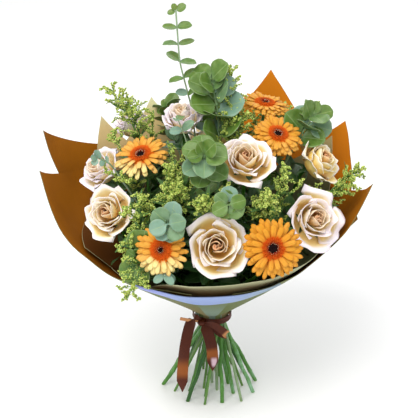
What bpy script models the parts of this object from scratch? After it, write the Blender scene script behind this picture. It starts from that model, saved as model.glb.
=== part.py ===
"""A mixed flower bouquet, tied by hand in a spiral, which stands unheld on its level-cut stems.

Open cream roses, mini gerberas, eucalyptus and budded solidago are bound at a narrow waist, wrapped in
two-sided paper round a lining, and tied with a satin ribbon. Lengths are in millimetres up to the point
where a mesh is made, which is in metres. The origin is on the table, at the cut end of the stem that
stands on the bouquet's axis. +Z is up, and the low front of the paper faces -Y.
"""

import math

import bmesh
import bpy
from mathutils import Matrix, Vector
from mathutils.bvhtree import BVHTree

MM = 0.001
UP = Vector((0, 0, 1))
GOLDEN_ANGLE = math.radians(137.508)

# The spiral: every stem is a straight line past the waist, turned about the axis as its neighbours are.
WAIST_HEIGHT = 112.0
SPIRAL_BELOW = 0.041
SPIRAL_ABOVE = 0.048
STEM_GAP = 0.35
BUNDLE_RADIUS = 17.2
SPIRAL_LEVEL = 146.0
SETTLING_ROUNDS = 500
BINDING_SQUEEZE = 0.99

# The paper's funnel starts at the waist and rises more steeply the further out it runs.
FUNNEL_START = 119.0
FUNNEL_WAIST_RADIUS = 21.0
FUNNEL_LOW_ANGLE = 39.0
FUNNEL_HIGH_ANGLE = 74.0
FUNNEL_TURNS_FROM = 120.0
FUNNEL_TURNS_TO = 320.0
FUNNEL_BACK_LEAN = 20.0
FUNNEL_RIGHT_LEAN = 4.0
FUNNEL_LEANS_BY = 180.0
FUNNEL_STEP = 5.0
CORNER_SPREAD = 0.7
PAPER = 0.8
PAPER_LAYER = 1.25
LAYER_DROP = 1.2
SKIRT = 12.0
LAYERS_OPEN = 1.8
LAYERS_OPEN_BY = 30.0
LAYERS_FAN = 5.2
LAYERS_FAN_BY = 240.0
SHEET_ROWS = (0.2, 0.48, 0.74, 1.0)
COLUMN_STEP = 20

LEAF = 0.8
CLEARANCE = 0.5
SEAT_GAP = 0.4

# The ribbon's band lies round the waist outside three layers of paper, with its knot at the front.
RIBBON_RADIUS = FUNNEL_WAIST_RADIUS + 3 * PAPER_LAYER + 1.6
RIBBON_WIDTH = 15.0
RIBBON_BAND = 8.0
RIBBON = 0.9
RIBBON_LOW = 106.0
KNOT = Vector((-14, -RIBBON_RADIUS - 0.4, 110))
LEFT_TAIL = ((-1, 0.4, 0.5), (-12, -5, 7), (-21, -16, -22), (-25, -36, -54), (-25, -50, -77))
RIGHT_TAIL = ((1.2, -0.6, -0.7), (8, -8, -10), (14, -20, -30), (15, -32, -56))
LEFT_LOOP = ((0, 0, 1), (-14, -4, 5), (-28, -3, 7), (-14, 1.0, 2), (0.8, 1.2, -0.6))
RIGHT_LOOP = ((0.4, -1.1, 0.2), (16, -10, 1), (33, -9, -13), (24, -3, -15), (2, 0, -1))
TWINE = 0.9
TWINE_RIB = 0.5
TWINE_REACH = 4.0

# name: (middle of the open face, the way it faces, radius, how far it has opened, first petal's turn)
ROSES = {
    "rose_1": ((-150, 2, 323), (-0.70, -0.42, 0.58), 35, 0.55, 20),
    "rose_2": ((-134, -64, 288), (-0.36, -0.76, 0.54), 39, 0.60, 50),
    "rose_3": ((-40, 33, 381), (-0.10, -0.34, 0.94), 34, 0.30, 0),
    "rose_4": ((-110, 74, 360), (-0.42, 0.20, 0.88), 32, 0.40, 80),
    "rose_5": ((41, -50, 358), (0.02, -0.58, 0.81), 41, 0.65, 10),
    "rose_6": ((147, 22, 328), (0.72, -0.30, 0.62), 38, 0.75, 65),
    "rose_7": ((132, -67, 281), (0.42, -0.78, 0.46), 41, 0.85, 35),
    "rose_8": ((6, -128, 271), (0.04, -0.88, 0.46), 42, 0.80, 75),
    "rose_9": ((-4, 118, 330), (0.02, 0.62, 0.78), 37, 0.55, 15),
}
ROSE_DEPTH = 30.0
ROSE_FULL_RADIUS = 37.0
HALF_OPEN = 0.5
PETAL = 1.0
PETAL_TUCK = 3.0
SEAT_RADIUS = 6.2
SEPAL_ROOT = 3.6
SEPAL_REACH = 16.0
SEPAL_DROP = 4.5
ROSE_STEM = 2.6
ROSE_STEM_TOP = 2.2
ROSE_HIP = 4.4
ROSE_NECK = 9.0

# name: (middle of the face, the way it faces, radius)
GERBERAS = {
    "gerbera_1": ((-90, -22, 348), (-0.22, -0.40, 0.89), 36),
    "gerbera_2": ((-62, -128, 266), (-0.16, -0.90, 0.40), 33),
    "gerbera_3": ((73, -130, 269), (0.14, -0.90, 0.41), 38),
    "gerbera_4": ((84, 14, 362), (0.20, -0.44, 0.87), 34),
    "gerbera_5": ((70, 78, 382), (0.14, -0.06, 0.99), 34),
}
GERBERA_DEPTH = 4.0
GERBERA_BACK = 1.4
GERBERA_NECK = 9.0
GERBERA_STEM = 2.4
GERBERA_STEM_TOP = 2.0
GERBERA_CUP = (6.6, 7.6)

# name: (points that the stem runs through above the waist, stem radius, leaf radius low and high,
#        where the leaves start along the stem, pairs)
EUCALYPTUS = {
    "eucalyptus_1": (((-16, 46, 280), (-26, 71, 374), (-42, 69, 440), (-46, 66, 508)), 2.1, 11, 6, 0.74, 6),
    "eucalyptus_2": (((10, 20, 300), (8, 36, 380), (-2, 48, 432)), 2.0, 18, 15, 0.52, 4),
    "eucalyptus_3": (((-6, -30, 280), (-9, -66, 345), (-10, -88, 374)), 1.8, 17, 12, 0.62, 3),
    "eucalyptus_4": (((84, 34, 290), (118, 46, 352), (132, 50, 374)), 1.8, 17, 11, 0.50, 3),
    "eucalyptus_5": (((12, -60, 270), (18, -112, 318), (20, -128, 326)), 1.5, 10, 7, 0.70, 2),
    "eucalyptus_6": (((-42, -70, 250), (-50, -118, 296), (-54, -134, 303)), 1.6, 12, 9, 0.72, 2),
    "eucalyptus_7": (((-58, -74, 212), (-88, -108, 248), (-99, -128, 257)), 1.6, 13, 9, 0.70, 2),
    "eucalyptus_8": (((-94, -25, 280), (-128, -26, 338), (-142, -44, 352)), 1.4, 8, 6, 0.62, 3),
    "eucalyptus_9": (((-30, 88, 262), (-56, 124, 330), (-60, 134, 352)), 1.9, 15, 10, 0.50, 3),
}

# name: (points of the main stem above the waist, tips of its plumes)
SOLIDAGO = {
    "solidago_1": (
        ((-62, 24, 250), (-96, 36, 352)),
        ((-133, 40, 417), (-110, 45, 401), (-78, 42, 384)),
    ),
    "solidago_2": (
        ((-86, 6, 260), (-108, -8, 312)),
        ((-132, 26, 360), (-134, -36, 330), (-112, -56, 328)),
    ),
    "solidago_3": (
        ((-66, -52, 236), (-92, -76, 280)),
        ((-106, -92, 300), (-100, -112, 268), (-86, -88, 318)),
    ),
    "solidago_4": (
        ((-66, -62, 216), (-76, -104, 256)),
        ((-103, -150, 211), (-108, -118, 256)),
    ),
    "solidago_5": (
        ((-30, -40, 250), (-44, -66, 312)),
        ((-54, -60, 350), (-38, -98, 334), (-58, -96, 324), (-60, -12, 362)),
    ),
    "solidago_6": (
        ((4, -60, 230), (8, -92, 296)),
        ((-12, -116, 326), (34, -104, 324), (-26, -118, 306)),
    ),
    "solidago_7": (
        ((58, -40, 240), (78, -60, 292)),
        ((90, -38, 340), (64, -98, 318), (90, -80, 314), (112, -46, 318)),
    ),
    "solidago_8": (
        ((16, 12, 270), (26, 34, 350)),
        ((18, 60, 440), (32, 46, 402), (46, 24, 388), (12, 8, 392)),
    ),
    "solidago_9": (
        ((96, -8, 246), (146, -4, 280)),
        ((195, 8, 316), (184, -16, 304)),
    ),
    "solidago_10": (
        ((56, 78, 258), (92, 98, 326)),
        ((104, 110, 366), (150, 100, 370), (52, 128, 352)),
    ),
}
EUCALYPTUS_TIP = 1.5
LEAF_RISE = 0.35
LEAF_DISH = -0.10
STALK = 0.6
SOLIDAGO_STEM = 1.8
SOLIDAGO_SEAT = 1.55
BRANCH = 1.2
BUD_REACH = 3.6
PLUME_BOW = 0.10
STEM_SHOULDER = (16.0, 12.0)
STEM_APPROACH = (20.0, 22.0)
TAPER_LENGTH = 260.0

# name: (azimuth from, azimuth to, layer, corners as (azimuth, slant, fall before, fall after), lowest rim)
SHEETS = {
    "paper_left": (120, 260, 1, ((181, 281, 0.75, 2.6),), 150),
    "paper_left_back": (100, 164, 2, ((164, 310, 0.95, 0.95),), 190),
    "paper_right": (-80, 40, 1, ((-9, 266, 3.0, 0.9),), 150),
    "paper_back": (0, 120, 3, ((64, 334, 1.4, 1.4), (32, 292, 2.2, 1.2)), 185),
    "paper_front": (232, 304, 2, (), 157),
    "lining": (0, 360, 0, ((141, 294, 1.7, 2.4), (119, 300, 1.5, 1.4), (30, 275, 2.8, 1.3)), 172),
}
CUFF_DEEP = 42.0
CUFF_SHALLOW = 4.0
CUFF_MIDDLE = 264
CUFF_SPREAD = 40.0
BULGE = 16.0
BULGE_MIDDLE = 198
BULGE_SPREAD = 58.0
BULGE_TO = 130.0
BULGE_FROM = 170.0
LINING_DIP = 80.0
LINING_DIP_MIDDLE = 209
LINING_DIP_SPREAD = 48.0
CUFF_LAYERS = 0.35

# slot: (colour, roughness)
MATERIALS = {
    "rose_petal": ((0.93, 0.80, 0.66), 0.55),
    "gerbera_petal": ((0.95, 0.58, 0.12), 0.50),
    "gerbera_heart": ((0.80, 0.22, 0.04), 0.70),
    "green_stem": ((0.16, 0.36, 0.12), 0.50),
    "eucalyptus_leaf": ((0.30, 0.47, 0.34), 0.60),
    "solidago_bud": ((0.50, 0.62, 0.16), 0.65),
    "kraft_paper": ((0.62, 0.32, 0.08), 0.60),
    "lining_paper": ((0.84, 0.84, 0.62), 0.55),
    "satin_ribbon": ((0.24, 0.09, 0.05), 0.30),
    "twine": ((0.55, 0.44, 0.28), 0.85),
}
STEM_SLOTS = {
    "rose": "green_stem",
    "gerbera": "green_stem",
    "eucalyptus": "eucalyptus_leaf",
    "solidago": "solidago_bud",
}


def smooth(share):
    """0 to 1 with no kink at either end."""
    share = max(0.0, min(1.0, share))
    return share * share * (3 - 2 * share)


def mix(low, high, share):
    return low + (high - low) * share


# Shapes. Each is (points, faces), closed, with its faces pointing out.


def frames_along(path):
    """(along, side, upper) at each point of a path, turned as little as possible from one to the next."""
    last = len(path) - 1
    alongs = [(path[min(i + 1, last)] - path[max(i - 1, 0)]).normalized() for i in range(last + 1)]
    side = alongs[0].orthogonal().normalized()
    frames = []
    for along in alongs:
        side = (side - along * side.dot(along)).normalized()
        frames.append((along, side, along.cross(side)))
    return frames


def wall_faces(rings, sides, staggered, first=0):
    """Triangles between rings of points. Staggered rings are each half a side further round."""
    faces = []
    for row in range(rings - 1):
        for k in range(sides):
            a = first + row * sides + k
            b = first + row * sides + (k + 1) % sides
            c, d = b + sides, a + sides
            if staggered and row % 2 == 0:
                faces += [(a, b, d), (b, c, d)]
            else:
                faces += [(a, b, c), (a, c, d)]
    return faces


def tube(path, radii, sides, level_foot=False, staggered=False):
    """A stem along a path. With level_foot its first end is cut flat and level."""
    points = []
    for row, (centre, radius, frame) in enumerate(zip(path, radii, frames_along(path))):
        along, side, upper = frame
        for k in range(sides):
            turn = 2 * math.pi * (k + 0.5 * (row % 2) * staggered) / sides
            point = centre + radius * (math.cos(turn) * side + math.sin(turn) * upper)
            if level_foot and row == 0:
                point -= along * ((point.z - centre.z) / along.z)
            points.append(point)
    faces = wall_faces(len(path), sides, staggered)
    end = (len(path) - 1) * sides
    faces.append(tuple(reversed(range(sides))))
    faces.append(tuple(range(end, end + sides)))
    return points, faces


def grid_normals(rows, round_about=False):
    """The normal at each point of a grid, from its neighbours."""
    last_row = len(rows) - 1
    count = len(rows[0])
    normals = []
    for i in range(last_row + 1):
        below = rows[max(i - 1, 0)]
        above = rows[min(i + 1, last_row)]
        for j in range(count):
            left = rows[i][(j - 1) % count if round_about else max(j - 1, 0)]
            right = rows[i][(j + 1) % count if round_about else min(j + 1, count - 1)]
            normals.append((right - left).cross(above[j] - below[j]).normalized())
    return normals


def blade(rows, thickness, round_about=False):
    """A thin body round a grid of middle points, split into triangles alike on both faces."""
    count = len(rows[0])
    middles = [point for row in rows for point in row]
    normals = grid_normals(rows, round_about)
    total = len(middles)
    points = [p + n * thickness / 2 for p, n in zip(middles, normals)]
    points += [p - n * thickness / 2 for p, n in zip(middles, normals)]
    faces = []
    for i in range(len(rows) - 1):
        for j in range(count if round_about else count - 1):
            a = i * count + j
            b = i * count + (j + 1) % count
            c, d = b + count, a + count
            for one, two, three in ((a, b, c), (a, c, d)):
                faces.append((one, two, three))
                faces.append((three + total, two + total, one + total))
    top_row = (len(rows) - 1) * count
    if round_about:
        first = list(range(count)) + [0]
        last = [top_row + k for k in list(range(count)) + [0]]
        edges = list(zip(first, first[1:])) + list(zip(last[1:], last))
    else:
        loop = list(range(count))
        loop += [i * count + count - 1 for i in range(1, len(rows))]
        loop += [top_row + j for j in range(count - 2, -1, -1)]
        loop += [i * count for i in range(len(rows) - 2, -1, -1)]
        edges = list(zip(loop, loop[1:]))
    for p, q in edges:
        faces.append((q, p, p + total))
        faces.append((q, p + total, q + total))
    return points, faces


def lathe(profile, sides):
    """A turned body from (radius, height) pairs, bottom to top, with both ends on the axis."""
    points = [Vector((0, 0, profile[0][1])), Vector((0, 0, profile[-1][1]))]
    for row, (radius, height) in enumerate(profile[1:-1]):
        for k in range(sides):
            turn = 2 * math.pi * (k + 0.5 * (row % 2)) / sides
            points.append(Vector((radius * math.cos(turn), radius * math.sin(turn), height)))
    rings = len(profile) - 2
    faces = wall_faces(rings, sides, True, 2)
    top = 2 + (rings - 1) * sides
    for k in range(sides):
        after = (k + 1) % sides
        faces.append((0, 2 + after, 2 + k))
        faces.append((1, top + k, top + after))
    return points, faces


def whorl(count, turn, centre, valley, rows):
    """A thin flat body cut into rays round its middle. centre is the (upper, lower) height on the axis,
    valley the (radius, upper height, lower height) where two rays meet, and rows hold the
    (radius, half width, upper height, lower height) of a ray from there to its tip."""
    points = [Vector((0, 0, centre[0])), Vector((0, 0, centre[1]))]
    faces = []
    stride = 2 + 4 * len(rows)
    pitch = 2 * math.pi / count
    for k in range(count):
        start = turn + k * pitch
        radius, upper, lower = valley
        root = Vector((math.cos(start), math.sin(start), 0)) * radius
        points += [root + UP * upper, root + UP * lower]
        outward = Vector((math.cos(start + pitch / 2), math.sin(start + pitch / 2), 0))
        across = UP.cross(outward)
        for radius, half_width, upper, lower in rows:
            for side in (-1, 1):
                edge = outward * radius + across * half_width * side
                points += [edge + UP * upper, edge + UP * lower]
        here = 2 + k * stride
        after = 2 + (k + 1) % count * stride
        left = [here] + [here + 2 + 4 * row for row in range(len(rows))]
        right = [after] + [here + 4 + 4 * row for row in range(len(rows))]
        faces += [(0, here, after), (1, after + 1, here + 1)]
        for a, b, c, d in zip(left, left[1:], right[1:], right):
            faces += [(a, b, c), (a, c, d), (c + 1, b + 1, a + 1), (d + 1, c + 1, a + 1)]
            faces += [(b, a, a + 1), (b, a + 1, b + 1), (d, c, c + 1), (d, c + 1, d + 1)]
        tip_left, tip_right = left[-1], right[-1]
        faces += [(tip_right, tip_left, tip_left + 1), (tip_right, tip_left + 1, tip_right + 1)]
    return points, faces


def moved(shape, matrix):
    points, faces = shape
    return [matrix @ point for point in points], faces


def placed(base, facing, turn=0.0):
    """The matrix that stands a flower's own +Z along facing, at base, turned about it."""
    return (
        Matrix.Translation(base)
        @ UP.rotation_difference(facing.normalized()).to_matrix().to_4x4()
        @ Matrix.Rotation(turn, 4, "Z")
    )


def curve_through(points, steps):
    """A smooth path through the points, with so many steps between each two."""
    ends = [points[0] * 2 - points[1], *points, points[-1] * 2 - points[-2]]
    path = [points[0]]
    for i in range(1, len(ends) - 2):
        before, here, there, after = ends[i - 1 : i + 3]
        for step in range(1, steps + 1):
            t = step / steps
            pull = (there - before) * t + (2 * before - 5 * here + 4 * there - after) * t**2
            pull += (3 * here - before - 3 * there + after) * t**3
            path.append(here + pull * 0.5)
    return path


def point_along(path, share):
    """(point, direction) at a share of a path's length."""
    lengths = [(b - a).length for a, b in zip(path, path[1:])]
    left = share * sum(lengths)
    for a, b, length in zip(path, path[1:], lengths):
        if left <= length:
            break
        left -= length
    return a + (b - a) * min(left / length, 1.0), (b - a).normalized()


# What is already in the bouquet. A leaf, bud or plume is only grown where it is clear of the rest.


class Neighbours:
    def __init__(self):
        self.trees = []

    def add(self, owner, shape):
        points, faces = shape
        low = Vector(map(min, zip(*points)))
        high = Vector(map(max, zip(*points)))
        self.trees.append((owner, BVHTree.FromPolygons(points, faces), low, high))

    def leave_room_for(self, owner, shape):
        """Whether the shape, grown by the clearance on every side, touches no other node."""
        points, faces = shape
        middle = sum(points, Vector()) / len(points)
        normals = [Vector() for _ in points]
        for face in faces:
            across = (points[face[1]] - points[face[0]]).cross(points[face[2]] - points[face[0]])
            for corner in face:
                normals[corner] += across
        grown = [p + n.normalized() * CLEARANCE for p, n in zip(points, normals)]
        low = Vector(map(min, zip(*grown)))
        high = Vector(map(max, zip(*grown)))
        tree = BVHTree.FromPolygons(grown, faces)
        for other, other_tree, other_low, other_high in self.trees:
            if other == owner:
                continue
            if any(low[k] > other_high[k] or high[k] < other_low[k] for k in range(3)):
                continue
            if tree.overlap(other_tree):
                return False
            nearest, normal, _, distance = other_tree.find_nearest(middle)
            if distance < 2 * LEAF or (distance < 6 and (middle - nearest).dot(normal) < 0):
                return False
        return True


NEIGHBOURS = Neighbours()


# The stems, held at the waist side by side and never crossing.


def seat_below(point):
    """Where, at the waist, the straight line of the spiral that runs through a point above it passes."""
    return complex(point[0], point[1]) / (1 + 1j * SPIRAL_ABOVE * (point[2] - WAIST_HEIGHT))


def room_needed(one, two, apart):
    """How much wider than its diameters a pair of leaning stems is, cut level, in the direction apart."""
    middle = (one + two) / 2
    lean = SPIRAL_ABOVE * abs(middle)
    around = 1j * middle / max(abs(middle), 0.01)
    share = abs((apart * around.conjugate()).real) / max(abs(apart), 0.01)
    return math.sqrt(1 + (lean * share) ** 2)


def settled(seats, radii, pinned):
    """The stems pressed side by side inside the binding, each as near its own seat as the others let it."""
    seats = dict(seats)
    names = sorted(seats)
    for number in range(SETTLING_ROUNDS):
        squeeze = BINDING_SQUEEZE if number < SETTLING_ROUNDS * 0.8 else 1.0
        seats = {name: seat * squeeze for name, seat in seats.items()}
        for i, one in enumerate(names):
            for two in names[i + 1 :]:
                apart = seats[two] - seats[one]
                needed = radii[one] + radii[two] + STEM_GAP
                if abs(apart) > 2 * needed:
                    continue
                needed *= room_needed(seats[one], seats[two], apart)
                if abs(apart) < needed:
                    push = apart / max(abs(apart), 0.01) * (needed - abs(apart)) / 2
                    seats[one] -= push
                    seats[two] += push
        for name in names:
            reach = BUNDLE_RADIUS - radii[name]
            if abs(seats[name]) > reach:
                seats[name] *= reach / abs(seats[name])
        seats[pinned] = 0j
    return seats


def flower_base(face, facing, depth):
    return Vector(face) - Vector(facing).normalized() * depth


def flower_stem_points(base, facing):
    """The points above the waist that a flower's stem runs through, up to the flower's base."""
    facing = Vector(facing).normalized()
    shoulder = base - facing * STEM_SHOULDER[0] - UP * STEM_SHOULDER[1]
    return [shoulder - facing * STEM_APPROACH[0] - UP * STEM_APPROACH[1], shoulder, base]


def stem_path(seat, upper_points, steps):
    """A stem from its level-cut foot through its seat at the waist to its tip."""
    foot = seat * (1 - 1j * SPIRAL_BELOW * WAIST_HEIGHT)
    above = seat * (1 + 1j * SPIRAL_ABOVE * (SPIRAL_LEVEL - WAIST_HEIGHT))
    path = [Vector((foot.real, foot.imag, 0)), Vector((seat.real, seat.imag, WAIST_HEIGHT))]
    path.append(Vector((above.real, above.imag, SPIRAL_LEVEL)))
    return path + curve_through([Vector(p) for p in upper_points], steps)


# Roses.


def petal_profile(v, layer, opened, radius):
    """(distance from the axis, height) at share v of a petal's length. layer is 0 inside and 1 outside."""
    size = radius / ROSE_FULL_RADIUS
    spread = layer * (0.55 + 0.45 * opened)
    foot = (4.6, 7.0 - 6.0 * layer)
    belly = (8.0 + 18.0 * spread, 12.0 - 12.0 * spread)
    shoulder = (9.0 + 20.0 * spread, 27.0 - 13.0 * spread)
    rim = (6.5 + 30.0 * spread, 35.0 - 19.0 * spread * layer)
    weights = ((1 - v) ** 3, 3 * v * (1 - v) ** 2, 3 * v * v * (1 - v), v**3)
    knots = (foot, belly, shoulder, rim)
    distance = sum(w * knot[0] for w, knot in zip(weights, knots))
    height = sum(w * knot[1] for w, knot in zip(weights, knots))
    return distance * size, height * size


def rose_petal(turn, half_width, layer, opened, radius, rows):
    """Middle points of one cupped petal. One side edge tucks inside its neighbour, one lies outside."""
    grid = []
    for v in rows:
        row = []
        width = half_width * mix(0.38, 1.0, smooth(v / 0.8)) * (1 - 0.2 * smooth((v - 0.75) / 0.25))
        for u in (-1, 0, 1):
            distance, height = petal_profile(v * (1 - 0.14 * u * u * v), layer, opened, radius)
            distance += PETAL_TUCK * (u + 0.5 * u * u) * smooth(v / 0.6)
            angle = turn + width * u
            row.append(Vector((distance * math.cos(angle), distance * math.sin(angle), height)))
        grid.append(row)
    return grid


def rose_bloom(radius, opened):
    """A bud of furled petals, three petals opening round it and four or five spread below them."""
    size = radius / ROSE_FULL_RADIUS
    furled = [(0, 0), (6.5, 0.6), (9.4, 13), (8.0, 26), (3.6, 31), (0, 27)]
    points, faces = lathe([(r * size, z * size) for r, z in furled], 6)
    for number in range(2 + 12, 2 + 18, 2):
        points[number].z += 3.5 * size
    shapes = [(points, faces)]
    outer = (5, 1.0, 46, (0, 0.55, 1)) if opened > HALF_OPEN else (4, 1.0, 56, (0, 0.55, 1))
    whorls = ((3, 0.46, 68, (0, 0.55, 1)), outer)
    for number, (count, layer, half_width, rows) in enumerate(whorls):
        for k in range(count):
            turn = 2 * math.pi * (k + 0.37 * number) / count
            middles = rose_petal(turn, math.radians(half_width), layer, opened, radius, rows)
            shapes.append(blade(middles, PETAL))
    return shapes


def stem_with_sepals(path, radii, facing):
    """A rose's stem, which widens at its top and ends in five sepals bent back from the bloom."""
    sides = 5
    points, faces = tube(path, radii, sides, True)
    faces.pop()
    low = len(points) - sides
    up = len(points)
    top = path[-1] + facing * SEPAL_ROOT
    outwards = [(points[low + k] - path[-1]).normalized() for k in range(sides)]
    points += [top + outward * SEAT_RADIUS for outward in outwards]
    for k in range(sides):
        after = (k + 1) % sides
        outward = (outwards[k] + outwards[after]).normalized()
        tip = path[-1] + outward * SEPAL_REACH - facing * SEPAL_DROP
        here = len(points)
        points += [tip + facing * LEAF, tip]
        faces += [(up + k, here, up + after), (low + after, here + 1, low + k)]
        faces += [(up + k, low + k, here + 1), (up + k, here + 1, here)]
        faces += [(low + after, up + after, here), (low + after, here, here + 1)]
    faces.append(tuple(range(up, up + sides)))
    return points, faces


def leaf(root, heading, across, length, width, outline, droop=0.12):
    """A thin arched leaf. outline holds (share of the length, share of the width, forward sweep) rows."""
    normal = heading.cross(across).normalized()
    rows = []
    for share, breadth, sweep in outline:
        middle = root + heading * length * share - normal * length * droop * share * share
        edge = heading * length * sweep
        rows.append([middle + edge + across * width / 2 * breadth * side for side in (-1, 1)])
    return blade(rows, LEAF)


def grown_if_clear(owner, choices):
    """The first of the choices, each a list of shapes, that is clear of every other node, or nothing."""
    for shapes in choices:
        if all(NEIGHBOURS.leave_room_for(owner, shape) for shape in shapes):
            return shapes
    return []


# Outlines: three leaflets on a stalk, cut to the rib; a narrow leaf; and a round leaf on its short stalk.
ROSE_LEAF = (
    (0, 0.05, 0),
    (0.32, 0.07, 0),
    (0.46, 1.0, 0.12),
    (0.58, 0.14, 0),
    (0.78, 0.66, 0),
    (1, 0.05, 0),
)
NARROW_LEAF = ((0, 0.1, 0), (0.45, 1, 0), (1, 0.15, 0))
ROUND_LEAF = ((0.26, 0.82), (0.66, 1.0), (1.0, 0.4))
SMALL_ROUND_LEAF = ((0.45, 1.0), (1.0, 0.42))
SMALL_LEAF_RADIUS = 11
SWINGS = (0, 40, -40, 80, -80, 130, -130, 180)


def rose_leaf(root, along, outward, size):
    heading = (outward + along * 0.8).normalized()
    return [leaf(root, heading, along.cross(outward).normalized(), 52 * size, 38 * size, ROSE_LEAF)]


def narrow_leaf(root, along, outward, size):
    heading = (outward + along * 1.1).normalized()
    return [leaf(root, heading, along.cross(outward).normalized(), 38 * size, 8 * size, NARROW_LEAF)]


def leaves_on(owner, path, shares, maker):
    """Leaves at shares of a path, each swung round the stem or made smaller until it is clear."""
    shapes = []
    for number, share in enumerate(shares):
        root, along = point_along(path, share)
        start = number * GOLDEN_ANGLE
        side = along.orthogonal().normalized()
        choices = []
        for size in (1, 0.75):
            for swing in SWINGS:
                outward = Matrix.Rotation(start + math.radians(swing), 3, along) @ side
                choices.append(maker(root, along, outward, size))
        grown = grown_if_clear(owner, choices)
        for shape in grown:
            NEIGHBOURS.add(owner, shape)
        shapes += grown
    return shapes


# Gerberas.


def gerbera_rays(radius):
    """Two whorls of strap petals, the upper one shorter, grown together at the hub."""
    rays = ((radius * 0.72, 5.0, 0.2, -0.6), (radius, 2.4, 1.2, 0.4))
    lower = whorl(10, 0, (0.6, -GERBERA_BACK), (8.5, -0.2, -1.0), rays)
    rays = ((radius * 0.58, 4.8, 3.0, 2.2), (radius * 0.86, 2.2, 5.4, 4.6))
    upper = whorl(9, 0.2, (1.0, -0.7), (8.5, 1.0, 0.2), rays)
    return [lower, upper]


def gerbera_heart():
    """The raised ring of short inner florets round the dark eye."""
    sides = 10
    profile = [(0, 1.35), (8.0, 1.35), (13.2, 5.6), (7.4, 6.2), (4.6, 4.4), (0, 5.2)]
    points, faces = lathe(profile, sides)
    for number in range(2 + sides, 2 + 2 * sides, 2):
        points[number] *= 1.1
    return [(points, faces)]


# Eucalyptus and solidago.


def leaf_pair(root, along, outward, radius):
    """Two round leaves opposite each other, on stalks that pass through the stem as one."""
    across = along.cross(outward)
    length = 2.1 * radius
    rows = []
    for side in (-1, 1):
        heading = (outward * side + along * LEAF_RISE).normalized()
        half = []
        for share, breadth in ROUND_LEAF if radius > SMALL_LEAF_RADIUS else SMALL_ROUND_LEAF:
            middle = root + heading * length * share + along * LEAF_DISH * length * share * share
            half.append([middle + across * radius * breadth * edge for edge in (-1, 1)])
        rows += half[::-1] if side < 0 else [[root - across * STALK, root + across * STALK], *half]
    return blade(rows, LEAF)


def eucalyptus_leaves(owner, path, low, high, start, pairs):
    """Pairs of round leaves up the stem, each pair a quarter turn from the one below."""
    shapes = []
    for pair in range(pairs):
        share = mix(start, 0.96, pair / (pairs - 1))
        radius = mix(low, high, pair / (pairs - 1))
        root, along = point_along(path, share)
        side = along.orthogonal().normalized()
        choices = []
        for size in (1, 0.85, 0.7, 0.55):
            for swing in (0, 20, -20, 40, -40, 60, -60, 90):
                outward = Matrix.Rotation(math.radians(90 * pair + swing + 30), 3, along) @ side
                choices.append([leaf_pair(root, along, outward, radius * size)])
        grown = grown_if_clear(owner, choices)
        for shape in grown:
            NEIGHBOURS.add(owner, shape)
        shapes += grown
    return shapes


def plume(start, tip, knots, bare=0.3):
    """A curved branch of fat green buds, which stand out in threes from every second ring."""
    reach = tip - start
    bow = curve_through([start, (start + tip) / 2 + UP * reach.length * PLUME_BOW, tip], 4)
    path = [bow[0]] + [point_along(bow, mix(bare, 1, k / knots))[0] for k in range(knots + 1)]
    radii = [BRANCH / 3, BRANCH] + [BUD_REACH if k % 2 else BRANCH for k in range(1, knots)] + [BRANCH / 2]
    return tube(path, radii, 3, staggered=True)


def swung(root, tip, degrees, side):
    """The tip of a branch from root, swung up (side 0) or to one side (1 or -1), clear of a neighbour."""
    reach = tip - root
    axis = UP if side else reach.cross(UP)
    return root + Matrix.Rotation(math.radians(degrees * (side or 1)), 3, axis.normalized()) @ reach


def solidago_plumes(owner, path, tips):
    """One plume to each tip, all rooted in the main stem, the first with a short plume to one side."""
    shapes = []
    for number, tip in enumerate(tips):
        tip = Vector(tip)
        root, _ = point_along(path, 0.985 - 0.06 * number)
        ways = [(0, 0)] + [(degrees, side) for degrees in (6, 12, 18, 25, 33) for side in (0, 1, -1)]
        main = grown_if_clear(owner, [[plume(root, swung(root, tip, *way), 6)] for way in ways])
        if not main:
            continue
        NEIGHBOURS.add(owner, main[0])
        shapes += main
        if number and len(tips) > 2:
            continue
        reach = tip - root
        begin = sum(main[0][0][3:6], Vector()) / 3
        choices = []
        for side in ((-1) ** number, -((-1) ** number)):
            aside = reach.cross(UP).normalized() * side
            for lift in (0, 0.4, -0.3):
                heading = aside * 0.8 + reach.normalized() + UP * lift
                choices.append([plume(begin, begin + heading.normalized() * reach.length * 0.5, 4, 0.4)])
        side_plume = grown_if_clear(owner, choices)
        for shape in side_plume:
            NEIGHBOURS.add(owner, shape)
        shapes += side_plume
    return shapes


# The paper, its lining, the binding and the ribbon.


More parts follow.
